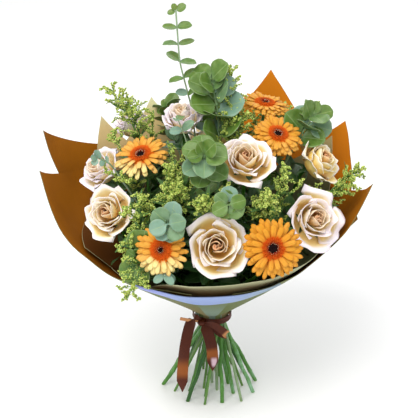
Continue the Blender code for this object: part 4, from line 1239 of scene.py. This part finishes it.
def solidago(name, bud_finish, stem_finish, leaf_finish):
    """A leafy stem with branched plumes of small round buds."""
    upper, tips = SOLIDAGO[name]
    solid = Solid(name)
    path = stem_path(name, upper)
    draw = random.Random(name)
    buds = []
    lines = []
    leaves = []
    ways = [(0, 0)] + [(degrees, side) for degrees in (6, 12, 18, 25, 33) for side in (0, 1, -1)]
    for number, tip in enumerate(tips):
        root, _ = point_along(path, 0.985 - 0.06 * number)
        choices = [plume_path(root, swung(root, Vector(tip), *way)) for way in ways]
        built = solid.as_built([(line[4:], line) for line in choices], 4.0)
        if built:
            line = built[1]
            lines.append((line, tapered(line, 1.2, 0.5), TWIG_TINT))
            buds += plume_buds(line, draw, 0.45, 3.4)
            add_plume(line, number, min(max((line[-1] - root).length, 40), 75), draw, lines, buds, leaves)
    for k in range(STEM_LEAVES):
        root, along = point_along(path, mix(0.56, 0.985, k / (STEM_LEAVES - 1)))
        heading = (beside(along, k * GOLDEN_ANGLE) + along * draw.uniform(0.2, 1.3)).normalized()
        length = draw.uniform(30, 50)
        if room_for(root, heading, length):
            leaves.append((root, axes(heading, along), length, draw.random()))
    line = softened(path)
    lines.append((line, [SOLIDAGO_STEM] * len(line), TWIG_TINT))
    parts = [
        scattered(name + "_buds", BUD, buds, bud_finish, 0.3, 11),
        stems_along(name + "_twigs", lines, stem_finish, 6, 4.0),
        scattered(name + "_leaves", LANCE_LEAF, leaves, leaf_finish, 0.2, 13),
    ]
    return joined(name + "_spray", parts)


# Green stems of the flowers.


def knotty(line, draw):
    """A stem's line with slight kinks below the tie, where its leaves once grew."""
    bent = []
    for point in line:
        share = eased(point.z / 25) * eased((92 - point.z) / 30)
        sway = Vector((noise.noise(point * 0.045 + UP * 7), noise.noise(point * 0.045), 0)) * 1.9
        bent.append(point + sway * share * draw.uniform(0.8, 1.2))
    return bent


def rose_stem(name, stem_finish, leaf_finish):
    """A green stem with its sepals under the bloom and toothed leaflets up its length."""
    face, facing, radius, *_ = ROSES[name]
    base = rose_base(face, facing, radius)
    path = stem_path(name + "_stem", flower_stem_points(base, facing))
    facing = Vector(facing).normalized()
    path = path[:-1] + [base - facing * ROSE_NECK, base - facing * SEPAL_ROOT]
    draw = random.Random(name + "stem")
    line = knotty(softened(path), draw)
    widths = [width * (KNOT_SWELLS if k % 7 == 3 else 1.0) for k, width in enumerate(thinned(line, 2.6, 2.1))]
    widths[-2:] = ROSE_HIP
    stand = placed(base - facing * 2.6, facing, 0.4)
    sepals = []
    for k in range(5):
        outward = spoke(2 * math.pi * k / 5, -0.35).normalized()
        sepals.append((stand.translation, stand.to_3x3() @ axes(outward, UP), draw.uniform(17, 20), 0.4))
    leaves = []
    for number in range(ROSE_LEAVES):
        root, along = point_along(path, mix(0.60, 0.93, number / (ROSE_LEAVES - 1)))
        outward = beside(along, number * GOLDEN_ANGLE + 1)
        heading = (outward + along * 0.8).normalized()
        across = along.cross(outward).normalized()
        stalk = root + heading * ROSE_LEAF_STALK
        for offset, spread in ((12, 0.0), (2, 0.9), (2, -0.9)):
            direction = (heading + across * spread).normalized()
            length = draw.uniform(25, 34)
            begin = stalk + heading * offset
            if room_for(begin, direction, length):
                leaves.append((begin, axes(direction, along), length, draw.random()))
    parts = [
        stems_along(name + "_line", [(line, widths, draw.random())], stem_finish),
        scattered(name + "_sepals", SEPAL_LEAF, sepals, leaf_finish, 0.1, 17),
        scattered(name + "_leaves", ROSE_LEAF, leaves, leaf_finish, 0.15, 19),
    ]
    return joined(name + "_green", parts)


def gerbera_stem(name, stem_finish, leaf_finish):
    """A bare green stem that widens into a cup of narrow bracts."""
    face, facing, *_ = GERBERAS[name]
    points = flower_stem_points(flower_base(face, facing, GERBERA_DEPTH + GERBERA_NECK), facing)
    path = stem_path(name + "_stem", points)
    facing = Vector(facing).normalized()
    base = flower_base(face, facing, GERBERA_DEPTH)
    path += [base - facing * 5, base - facing * 1.8]
    line = knotty(softened(path), random.Random(name + "stem"))
    widths = thinned(line, 2.4, 2.0)
    widths[-2:] = GERBERA_CUP
    stand = placed(base - facing * 4.0, facing)
    bracts = []
    for k in range(BRACTS):
        outward = spoke(k * GOLDEN_ANGLE, 0.25).normalized()
        bracts.append((stand.translation, stand.to_3x3() @ axes(outward, UP * -1), 11 + (k % 3), 0.6))
    parts = [
        stems_along(name + "_line", [(line, widths, 0.8)], stem_finish),
        scattered(name + "_bracts", SEPAL_LEAF, bracts, leaf_finish, 0.12, 23),
    ]
    return joined(name + "_green", parts)


# Paper.


def lining_dip(azimuth):
    """How much lower the lining's rim lies on the left, where the flowers hang out over it."""
    return LINING_DIP * eased(1 - abs(azimuth - LINING_DIP_MIDDLE) / LINING_DIP_SPREAD)


def cuff_depth(azimuth):
    """How far the front rim is folded down, deepest at the middle of the front."""
    middle = eased(1 - abs(azimuth - CUFF_MIDDLE) / CUFF_SPREAD)
    return mix(CUFF_SHALLOW, CUFF_DEEP, middle)


def wall_point(azimuth, slant, layer):
    """A point of the paper's funnel. slant is the length of paper from the waist; below 0 it runs down."""
    turn = math.radians(azimuth)
    back = max(0.0, math.sin(turn)) ** 2
    right = max(0.0, math.cos(turn))
    lean = FUNNEL_BACK_LEAN * back + FUNNEL_RIGHT_LEAN * right
    radius = FUNNEL_WAIST_RADIUS
    height = FUNNEL_START - layer * LAYER_DROP + min(slant, 0.0)
    run = 0.0
    while run < slant:
        step = min(FUNNEL_STEP, slant - run)
        turned = eased((run - FUNNEL_TURNS_FROM) / (FUNNEL_TURNS_TO - FUNNEL_TURNS_FROM))
        angle = mix(FUNNEL_LOW_ANGLE, FUNNEL_HIGH_ANGLE, turned)
        angle += lean * eased(run / FUNNEL_LEANS_BY)
        radius += step * math.cos(math.radians(angle))
        height += step * math.sin(math.radians(angle))
        run += step
    parted = LAYERS_OPEN * eased(slant / LAYERS_OPEN_BY) + LAYERS_FAN * eased(slant / LAYERS_FAN_BY)
    radius += layer * (PAPER_LAYER + parted)
    # The wrap bellies out on its left.
    left = eased(1 - abs(azimuth - BULGE_MIDDLE) / BULGE_SPREAD)
    belly = eased(slant / BULGE_TO) * (1 - eased((slant - BULGE_FROM) / BULGE_TO))
    radius += BULGE * (left * belly)
    # The paper is creased into flat facets at the waist, and eases into a curve towards its rim.
    within = (azimuth % FACET) - FACET / 2
    chord = math.cos(math.radians(FACET / 2)) / math.cos(math.radians(within))
    radius *= mix(1.0, chord, mix(FACET_DEPTH, FACET_RIM_DEPTH, eased(slant / FACETS_EASE_BY)))
    return Vector((radius * math.cos(turn), radius * math.sin(turn), height))


def rim_slant(azimuth, corners, lowest):
    """How far the paper runs up at an azimuth: square corners, and a plain rim between them."""
    reach = lowest
    for corner, slant, before, after in corners:
        away = (azimuth - corner + 180) % 360 - 180
        turned = math.radians(abs(away) * CORNER_SPREAD)
        fall = after if away > 0 else before
        if turned < math.atan(fall):
            reach = max(reach, slant / (math.cos(turned) + fall * math.sin(turned)))
    return reach


def paper(name, finishes):
    """A sheet from its skirt below the tie to its rim. finishes are the outside, inside and cuff."""
    first, last, layer, corners, lowest = SHEETS[name]
    closed = last - first == 360
    azimuths = set(np.arange(first, last + 0.1, 2.0).tolist())
    azimuths |= {float(corner) for corner, *_ in corners}
    azimuths = sorted(azimuths)
    if closed:
        azimuths.pop()
    rims = [rim_slant(a, corners, lowest - (0 if layer else lining_dip(a))) for a in azimuths]
    layers = [layer] * len(azimuths)
    cuffed = name == "paper_front"
    if cuffed:
        # Its two side edges lie close on the sheets beneath.
        layers = [mix(1.25, layer, eased(min(a - first, last - a) / 22)) for a in azimuths]
    edge = list(zip(azimuths, rims, layers))
    rows = [[wall_point(a, -SKIRT * (1 - k / 3), n) for a, _, n in edge] for k in range(3)]
    for share in np.linspace(0, 1, 25):
        rows.append([wall_point(a, share * rim, n) for a, rim, n in edge])
    cuff_from = len(rows) - 1
    if cuffed:
        for k in range(1, 9):
            out = CUFF_LAYERS * math.sin(min(k / 2, 1) * math.pi / 2)
            rows.append([wall_point(a, rim - cuff_depth(a) * k / 8, n + out) for a, rim, n in edge])
    grid = np.array([[tuple(p) for p in row] for row in rows])

    def noise_at(read):
        return np.array([[read(p) for p in row] for row in rows])

    wave = noise_at(lambda p: noise.noise(p * WAVES))
    crease = noise_at(lambda p: noise.ridged_multi_fractal(p * CREASES, 1.0, 2.0, 2, 1.0, 2.0))
    outward = grid * np.array((1, 1, 0))
    outward /= np.linalg.norm(outward, axis=2, keepdims=True)
    loose = smooth((np.arange(len(rows)) - 6) / 18)[:, None]
    grid += outward * ((wave * 2.6 + (crease - 1.2) * 0.5) * loose)[..., None]
    u = np.broadcast_to(np.array(azimuths) / 360, wave.shape)
    v = np.broadcast_to(np.linspace(0, 1, len(rows))[:, None], wave.shape)

    def row_slots(row):
        return (2, 2) if row >= cuff_from else (0, 1)

    sheet = Surfaces()
    sheet.sheet(grid, PAPER_THICKNESS, closed, (0, 1), row_slots, around=u, along=v)
    return sheet.made(name + "_sheet", finishes, 50)


# Ribbon and tie.


def strip(body, offsets, across, width, gathers, tail=0.0, light=0.0):
    """A length of satin from the knot, gathered at its root, or at both ends if it is a loop.

    A tail is cut to a point at its end. light says how much painted highlight a loop gets where it bends.
    """
    path = curve_through([KNOT + Vector(offset) for offset in offsets], 9)
    rows = []
    last = len(path) - 1
    for number, point in enumerate(path):
        share = number / last
        direction = across[0].lerp(across[1], share).normalized()
        tangent = (path[min(number + 1, last)] - path[max(number - 1, 0)]).normalized()
        direction = (direction - tangent * direction.dot(tangent)).normalized()
        normal = direction.cross(tangent)
        gather = eased(share / 0.22) if gathers == 1 else eased(min(share, 1 - share) / 0.3)
        half = width / 2 * mix(0.2, 1.0, gather)
        if tail:
            half *= mix(1.0, 0.06, max(0.0, (share - 1 + TAIL_CUT) / TAIL_CUT))
        row = []
        for u in np.linspace(-1, 1, 9):
            bowl = SATIN_BOWL * half * (1 - u * u) + 0.35 * math.sin(u * 4 + share * 9) * (1 - gather)
            row.append(tuple(point + direction * half * u + normal * bowl))
        rows.append(row)
    grid = np.array(rows)
    v, u = leaf_grid(len(rows), 9)
    bend = np.exp(-(((v - 0.5) / 0.09) ** 2))
    body.sheet(grid, RIBBON_THICKNESS, across=u, along=v, tail=tail, light=light * mix(bend, 1.0, light > 1))


def ribbon(finish):
    """A band round the wrap, a knot at its front, two loops and two tails."""
    body = Surfaces()
    rows = []
    turns = full_turn(48)
    for k in range(7):
        share = k / 6
        radius = RIBBON_RADIUS - 0.5 + 0.4 * math.sin(share * math.pi * 3)
        height = RIBBON_LOW + RIBBON_BAND * share
        waves = [height + 0.8 * math.sin(t * 2) for t in turns]
        rows.append([(radius * math.cos(t), radius * math.sin(t), wave) for t, wave in zip(turns, waves)])
    body.sheet(np.array(rows), RIBBON_THICKNESS, True, across=0.0, along=0.4)
    rows = []
    for k in range(9):
        share = k / 8
        radius = 1.0 + KNOT_RADIUS * math.sin(math.pi * share) ** 0.5 * (1 - 0.12 * math.cos(share * 12))
        x = mix(-KNOT_REACH, KNOT_REACH, share)
        rows.append([(x, radius * math.cos(t), radius * 0.8 * math.sin(t)) for t in full_turn(16)])
    knot = np.array(rows)[:, ::-1]
    body.sheet(knot + np.array(KNOT), RIBBON_THICKNESS, True, across=0.2, along=0.2)
    tall = Vector((0.25, 0, 1))
    left_turn = (Vector((0.6, 0, 0.8)), Vector((1, -0.15, 0)))
    right_turn = (Vector((1, 0, 0.1)), Vector((1, 0.2, 0)))
    strip(body, LEFT_TAIL, left_turn, RIBBON_WIDTH, 1, 1.0)
    strip(body, RIGHT_TAIL, right_turn, RIBBON_WIDTH, 1, 2.0)
    # The loops carry painted highlight: the right one where it bends, the left one all along.
    strip(body, RIGHT_LOOP, (tall, tall), RIBBON_WIDTH * 0.7, 2, 0.0, 1.0)
    strip(body, LEFT_LOOP, (tall, tall), RIBBON_WIDTH * 0.3, 2, 0.0, 1.2)
    return body.made("satin_ribbon", [finish], 60)


def tie(finish):
    """Turns of twine wound round the stems."""
    inside = BUNDLE_RADIUS + 1.4
    steps = 40
    path = []
    for k in range(TWINE_TURNS * steps + 1):
        height = WAIST_HEIGHT - 3.6 + 7.2 * k / (TWINE_TURNS * steps)
        turn = 2 * math.pi * k / steps
        path.append(Vector((inside * math.cos(turn), inside * math.sin(turn), height)))
    return stems_along("twine", [(path, [TWINE_RADIUS] * len(path), 0.5)], finish, 8, 2.5, 0.2)


# Finishes.


def rose_finish():
    """Cream at the middle of a petal, gold where it is deep, and a pale blushing lip."""
    paint = Finish("rose_petal", 0.5, Subsurface_Weight=0.15, Subsurface_Scale=0.003, Sheen_Weight=0.1)
    paint.set("Subsurface Radius", (1.0, 0.75, 0.35))
    along, across, layer, blush, gold, tint, back = paint.values("along across layer blush gold tint back")
    deep = paint.blend(gold, (0.90, 0.68, 0.32), (0.86, 0.45, 0.035))
    body = paint.blend(gold * 0.7 + tint * 0.3, (0.94, 0.85, 0.58), (0.92, 0.71, 0.22))
    lip = paint.blend(blush, (0.95, 0.91, 0.84), (0.90, 0.82, 0.93))
    colour = paint.blend(along.clear_of(0.30, 0.80), deep, body)
    heart = (1 - layer.clear_of(0.20, 0.75)) * (1 - along.clear_of(0.88, 1.3)) * (gold * 0.5 + 0.6)
    colour = paint.blend(heart, colour, (0.58, 0.19, 0.003))
    wide = along + blush * 0.16
    edge = wide.clear_of(0.76, 1.0) + across.absolute().clear_of(0.78, 1.0) * wide.clear_of(0.4, 0.8)
    strength = layer.clear_of(0.3, 1.0) * 0.74 + 0.14
    colour = paint.blend(edge.at_most(1.0) * strength, colour, lip)
    green = (1 - along.clear_of(0.05, 0.55)) * back * layer.clear_of(0.9, 1.4)
    colour = paint.blend(green * 0.75, colour, (0.60, 0.64, 0.30))
    veins = paint.bands(across * 9, along, tint, Distortion=2.0, Detail=2.0)
    colour = paint.blend(veins * 0.07, colour, (0.80, 0.52, 0.36))
    return paint.done(colour, veins + paint.spots(900) * 0.6, 0.12, 0.0006)


def gerbera_finish():
    """Orange at the root of a ray, apricot to pale yellow at its tip, with fine darker lines and painted
    shade along its side edges.
    """
    constants = {"Subsurface_Weight": 0.1, "Subsurface_Scale": 0.002, "Specular_IOR_Level": 0.3}
    paint = Finish("gerbera_petal", 0.55, **constants)
    along, across, tint = paint.values("along across tint")
    base = paint.blend(along.clear_of(0.10, 0.70), (0.58, 0.12, 0.003), (0.72, 0.31, 0.012))
    pale = paint.blend(tint.clear_of(0.4, 1.0), (0.82, 0.48, 0.10), (0.88, 0.80, 0.34))
    colour = paint.blend(along.clear_of(0.2, 0.75) * tint, base, pale)
    lines = paint.bands(across * 2.5, along * 0.4, tint, Distortion=1.2, Detail=1.0)
    # Painted shade: each ray turns darker orange along its side edges.
    edge = across.absolute().clear_of(0.70, 1.0)
    colour = paint.blend(lines * 0.28 + edge * 0.35, colour, (0.58, 0.17, 0.005))
    return paint.done(colour, lines, 0.3, 0.0006)


def heart_finish():
    """Near black at the eye, then deep red to orange outwards, and cream on the stamens."""
    paint = Finish("gerbera_heart", 0.7, Specular_IOR_Level=0.08)
    reach, along = paint.values("tint along")
    stops = [
        (0.0, (0.004, 0.001, 0.001)),
        (0.25, (0.010, 0.002, 0.002)),
        (0.36, (0.20, 0.014, 0.005)),
        (0.66, (0.54, 0.046, 0.004)),
        (1.0, (0.68, 0.12, 0.005)),
    ]
    colour = paint.add("ShaderNodeValToRGB", {"stops": stops}, reach)
    light = paint.blend(along.clear_of(0.6, 1.0) * 0.35, colour, (0.86, 0.26, 0.015))
    colour = paint.blend(reach.clear_of(0.30, 0.40), colour, light)
    colour = paint.blend(reach.clear_of(1.4, 1.6), colour, (0.85, 0.70, 0.42))
    return paint.done(colour, paint.spots(1500), 0.2, 0.0004)


def leaf_finish(name, dark, light, vein, roughness):
    """A leaf with a pale midrib, side veins, and mottling, from dark to light by its own tint."""
    paint = Finish(name, roughness, Subsurface_Weight=0.08, Subsurface_Scale=0.002)
    along, across, tint = paint.values("along across tint")
    across = across.absolute()
    mottle = paint.spots(140, 3.0)
    colour = paint.blend(tint * 0.75 + mottle * 0.4 - 0.1, dark, light)
    rib = 1 - across.clear_of(0.02, 0.10)
    side = paint.bands((along - across * 0.35) * 3.0, 0.0, 0.0).clear_of(0.82, 1.0) * 0.35
    colour = paint.blend((rib + side) * 0.6, colour, vein)
    paint.set("Roughness", mottle * 0.25 + roughness - 0.12)
    return paint.done(colour, rib * -1.0 - side + mottle * 0.4, 0.35, 0.0006)


def round_leaf_finish():
    """Eucalyptus: deep green under a waxy blue-grey bloom, partly painted highlight on the palest leaves,
    with a pale midrib.
    """
    paint = Finish("eucalyptus_leaf", 0.42, Subsurface_Weight=0.06, Subsurface_Scale=0.002)
    along, across, tint, back = paint.values("along across tint back")
    across = across.absolute()
    mottle = paint.spots(120, 3.0)
    green = mottle.clear_of(0.25, 0.75) * 0.6 + back * 0.3
    colour = paint.blend(green, (0.045, 0.125, 0.012), (0.14, 0.235, 0.032))
    # The blue-grey is waxy bloom, and on the palest leaves partly painted highlight.
    waxy_and_highlight = tint.clear_of(0.15, 0.85) + (1 - along.clear_of(0.05, 0.45)) * 0.15 + (mottle - 0.5) * 0.5
    colour = paint.blend(waxy_and_highlight.at_most(0.85), colour, (0.20, 0.34, 0.27))
    rib = 1 - across.clear_of(0.015, 0.07)
    colour = paint.blend(rib * 0.45, colour, (0.30, 0.42, 0.16))
    colour = paint.blend(across.clear_of(0.93, 1.0) * 0.5, colour, (0.30, 0.42, 0.20))
    paint.set("Roughness", mottle * 0.2 + 0.34)
    return paint.done(colour, rib * -1.0 + mottle * 0.6, 0.3, 0.0006)


def bud_finish():
    """Lime green, darker at the foot of each bud."""
    paint = Finish("solidago_bud", 0.55, Subsurface_Weight=0.1, Subsurface_Scale=0.002)
    along, tint = paint.values("along tint")
    colour = paint.blend(tint, (0.24, 0.36, 0.035), (0.62, 0.70, 0.17))
    colour = paint.blend(along.clear_of(0.15, 0.6), paint.blend(0.8, colour, (0.04, 0.11, 0.010)), colour)
    return paint.done(colour, paint.spots(1200), 0.3, 0.0004)


def stem_finish(name, dark, light, bloom, roughness):
    """A green stem with long streaks, pale blue-green patches of painted reflection and waxy bloom, and a
    pale cut end.
    """
    paint = Finish(name, roughness, Subsurface_Weight=0.06, Subsurface_Scale=0.002)
    streaks = paint.streaks((420, 420, 26), 3.0, 0.6)
    patches = paint.spots(22, 2.0)
    tint = paint.values("tint")[0]
    colour = paint.blend((streaks * 0.6 + patches * 0.7 + tint * 0.5 - 0.45).clear_of(0.0, 1.0), dark, light)
    # Painted reflection: pale blue-green patches, with real waxy bloom only on the eucalyptus twigs.
    waxy_and_highlight = (patches * 0.8 + streaks * 0.5 + tint * 0.35).clear_of(0.9, 1.25)
    colour = paint.blend(waxy_and_highlight * 0.6, colour, bloom)
    colour = paint.blend((1 - paint.position(2).clear_of(0.0001, 0.0012)) * 0.8, colour, (0.62, 0.66, 0.40))
    paint.set("Roughness", patches * 0.3 + roughness - 0.15)
    return paint.done(colour, streaks, 0.3, 0.0005)


def paper_finish(name, colour, shade, roughness, ribs=0.12, facets=0.0):
    """Wrapping paper: fine ribs, fibres, soft random changes of tone, and painted shade that darkens it
    towards the tie.
    """
    paint = Finish(name, roughness, Specular_IOR_Level=0.18)
    fibres = paint.streaks((500, 500, 120), 4.0, 0.7)
    tone_and_shade = (paint.spots(9, 3.0) * 1.3 - 0.15).clear_of(0.1, 0.9)
    along, around = paint.values("along around")
    # Painted shade: the paper darkens towards the tie, away from its rim.
    tone_and_shade = tone_and_shade * 0.45 + fibres * 0.2 + along.clear_of(0.35, 1.0) * 0.35
    painted = paint.blend(tone_and_shade, shade, colour)
    if facets:
        # Some flat facets between two creases get painted light and others painted shade, less so far from
        # the tie.
        seen = (1 - along.clear_of(0.25, 0.6) * 0.8) * facets
        facet = (around * (360 / FACET)).of("FLOOR")
        own = paint.add("ShaderNodeTexWhiteNoise", {"noise_dimensions": "1D"}, W=facet)
        painted = paint.blend(own.clear_of(0.5, 0.7) * seen, painted, (0.20, 0.27, 0.22))
        painted = paint.blend((1 - own.clear_of(0.2, 0.4)) * seen, painted, (0.20, 0.16, 0.07))
    paint.set("Roughness", fibres * 0.25 + roughness - 0.1)
    lines = (around * PAPER_RIBS).of("SINE")
    return paint.done(painted, lines * ribs + fibres * 0.5 + paint.spots(40, 2.0) * 0.8, 0.18, 0.0008)


def cuff_finish():
    """The folded rim: lilac at its left end, blue in the middle and grey-green at its right end."""
    paint = Finish("paper_cuff", 0.5, Specular_IOR_Level=0.2)
    around = paint.values("around")[0] * 360
    fibres = paint.streaks((500, 500, 120), 4.0, 0.7)
    colour = paint.blend(around.clear_of(236, 256), (0.30, 0.31, 0.78), (0.24, 0.33, 0.62))
    colour = paint.blend(around.clear_of(272, 300), colour, (0.22, 0.30, 0.30))
    colour = paint.blend(fibres * 0.3 + paint.spots(14) * 0.3, colour, (0.36, 0.44, 0.68))
    return paint.done(colour, fibres + paint.spots(60) * 0.6, 0.15, 0.0006)


def lining_finish():
    """Thin pale paper, with a dull olive painted shade deep in the wrap."""
    paint = Finish("lining_paper", 0.55, Specular_IOR_Level=0.2)
    height = paint.position(2)
    cloud = paint.spots(16, 3.0)
    fibres = paint.streaks((300, 300, 300), 4.0, 0.7)
    pale = paint.blend(cloud * 0.4 + fibres * 0.2, (0.78, 0.77, 0.44), (0.90, 0.89, 0.62))
    pale = paint.blend(height.clear_of(0.325, 0.372) * 0.7 + 0.3, (0.80, 0.52, 0.20), pale)
    # Painted shade: low in the wrap the pale paper turns dull olive.
    low = paint.blend(cloud, (0.11, 0.12, 0.05), (0.19, 0.21, 0.10))
    # The brown paper behind it shows through on the left.
    low = paint.blend(paint.position(0).clear_of(-0.11, -0.06), (0.14, 0.045, 0.006), low)
    colour = paint.blend((height + (cloud - 0.5) * 0.02).clear_of(0.25, 0.33), low, pale)
    return paint.done(colour, fibres * 0.5 + paint.spots(50) * 0.8, 0.2, 0.0008)


def satin_finish():
    """Dark wine satin, with a rust band of painted reflection near the ends of its tails."""
    paint = Finish("satin_ribbon", 0.42, Anisotropic=0.5, Specular_IOR_Level=0.18)
    along, across, tail, light = paint.values("along across tail light")
    weave = paint.streaks((900, 900, 60), 2.0, 0.5)
    colour = paint.blend(weave * 0.6 + paint.spots(60) * 0.4, (0.040, 0.006, 0.003), (0.105, 0.022, 0.007))
    # Painted reflection: the rust band near the end of each tail.
    sheen_band = along.clear_of(0.62, 0.72) * (1 - along.clear_of(0.76, 0.86)) * tail.clear_of(0.5, 0.9)
    colour = paint.blend(sheen_band * 0.8, colour, (0.30, 0.085, 0.014))
    # The right tail has a pale patch of painted highlight near its end.
    highlight_patch = tail.clear_of(1.4, 1.6) * along.clear_of(0.78, 0.84) * (1 - along.clear_of(0.90, 0.96))
    highlight_patch = highlight_patch * across.clear_of(-0.5, 0.1) * (1 - across.clear_of(0.6, 0.9))
    colour = paint.blend(highlight_patch * 0.8, colour, (0.72, 0.52, 0.60))
    # Painted highlight: rust-tan on the loops, as much as their light value says.
    colour = paint.blend(light.clear_of(0.5, 1.0) * 0.8, colour, (0.66, 0.30, 0.12))
    return paint.done(colour, weave, 0.15, 0.0003)


def twine_finish():
    """Straw-coloured twine."""
    paint = Finish("twine", 0.85)
    strands = paint.streaks((700, 700, 1400), 3.0, 0.6)
    return paint.done(paint.blend(strands, (0.26, 0.18, 0.09), (0.55, 0.43, 0.27)), strands, 0.6, 0.0006)


# The set: floor, light and camera.


def stood(name, data, place, way):
    """A light or the camera at a place, looking one way."""
    item = linked(bpy.data.objects.new(name, data))
    item.location = place
    item.rotation_mode = "QUATERNION"
    item.rotation_quaternion = way.to_track_quat("-Z", "Y")
    return item


def make_set():
    """A pale floor, a white studio round it, and three soft lights."""
    bpy.ops.mesh.primitive_plane_add(size=60)
    floor = bpy.context.object
    floor.name = "floor"
    paint = Finish("floor", 0.7)
    paint.set("Base Color", paint.blend(paint.spots(3.0) * 0.15, (0.92, 0.92, 0.92), (0.88, 0.88, 0.89)))
    floor.data.materials.append(paint.material)
    world = bpy.data.worlds.new("studio")
    bpy.context.scene.world = world
    world.use_nodes = True
    background = world.node_tree.nodes["Background"].inputs
    background["Color"].default_value = (1.0, 1.0, 1.0, 1)
    background["Strength"].default_value = STUDIO_LIGHT
    for name, place, size, power, colour in LIGHTS:
        light = bpy.data.lights.new(name, "AREA")
        light.size = size
        light.energy = power
        light.color = colour
        stood(name, light, place, VIEW_TARGET * MM - Vector(place))


def make_camera():
    forward = Vector((0, math.cos(VIEW_ELEVATION), -math.sin(VIEW_ELEVATION)))
    data = bpy.data.cameras.new("camera")
    data.sensor_width = SENSOR_WIDTH
    data.lens = SENSOR_WIDTH * VIEW_DISTANCE / VIEW_WIDTH
    data.clip_end = 100
    bpy.context.scene.camera = stood("camera", data, (VIEW_TARGET - forward * VIEW_DISTANCE) * MM, forward)


def fitted(piece, slot, *nodes):
    """Rides a finished piece on the bouquet in place of the nodes that it stands for."""
    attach(piece, "root")
    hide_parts(*nodes)


def main():
    make_camera()
    make_set()
    petal = rose_finish()
    ray = gerbera_finish()
    heart = heart_finish()
    round_green = round_leaf_finish()
    lance_colours = ((0.035, 0.10, 0.018), (0.09, 0.21, 0.035), (0.14, 0.27, 0.06))
    lance_green = leaf_finish("solidago_leaf", *lance_colours, 0.45)
    rose_green = leaf_finish("rose_leaf", (0.020, 0.075, 0.016), (0.05, 0.14, 0.03), (0.10, 0.20, 0.06), 0.38)
    # The third colour of each stem finish is the pale blue-green of painted reflection, and also waxy bloom
    # on the eucalyptus twigs.
    green = stem_finish("green_stem", (0.010, 0.080, 0.004), (0.09, 0.29, 0.022), (0.38, 0.60, 0.50), 0.42)
    twig = stem_finish("solidago_twig", (0.05, 0.15, 0.02), (0.16, 0.32, 0.06), (0.40, 0.55, 0.40), 0.55)
    pale = stem_finish("eucalyptus_twig", (0.16, 0.27, 0.10), (0.36, 0.47, 0.32), (0.50, 0.62, 0.55), 0.5)
    bud = bud_finish()
    outside = paper_finish("paper_outside", (0.17, 0.20, 0.085), (0.10, 0.125, 0.035), 0.6, 0.12, 0.8)
    # The insides of the kraft sheets are one orange-brown paper: paper_inside is darkened with painted shade,
    # and the next copy is brightened with painted light for the back sheet.
    inside = paper_finish("paper_inside", (0.44, 0.145, 0.001), (0.11, 0.030, 0.002), 0.6)
    lit_inside = paper_finish("paper_inside_bright", (0.85, 0.27, 0.010), (0.50, 0.14, 0.004), 0.6)
    cuff = cuff_finish()
    tissue = lining_finish()
    # The lining's outer face is its own pale paper painted grey-green: painted shade.
    shaded_outer_lining = paper_finish("lining_back", (0.42, 0.43, 0.26), (0.30, 0.32, 0.18), 0.55, 0.05)
    satin = satin_finish()
    string = twine_finish()

    for name in ROSES:
        fitted(rose_bloom(name, petal), "rose_petal", name + "_bloom")
        fitted(rose_stem(name, green, rose_green), "green_stem", name + "_stem")
    for name in GERBERAS:
        fitted(gerbera_rays(name, ray), "gerbera_petal", name + "_rays")
        fitted(gerbera_heart(name, heart), "gerbera_heart", name + "_heart")
        fitted(gerbera_stem(name, green, lance_green), "green_stem", name + "_stem")
    for name in EUCALYPTUS:
        fitted(eucalyptus(name, round_green, pale), "eucalyptus_leaf", name)
    for name in SOLIDAGO:
        fitted(solidago(name, bud, twig, lance_green), "solidago_bud", name)
    # The back sheet's inside takes the copy with painted light, the other insides the copy with painted
    # shade.
    insides = {"paper_back": lit_inside}
    for name in SHEETS:
        if name == "lining":
            fitted(paper(name, [shaded_outer_lining, tissue, tissue]), "lining_paper", name)
        else:
            fitted(paper(name, [outside, insides.get(name, inside), cuff]), "kraft_paper", name)
    fitted(ribbon(satin), "satin_ribbon", "ribbon")
    fitted(tie(string), "twine", "binding")
    for shape in SHAPES:
        bpy.data.objects.remove(shape)
    bpy.context.scene.view_settings.view_transform = "Standard"


main()
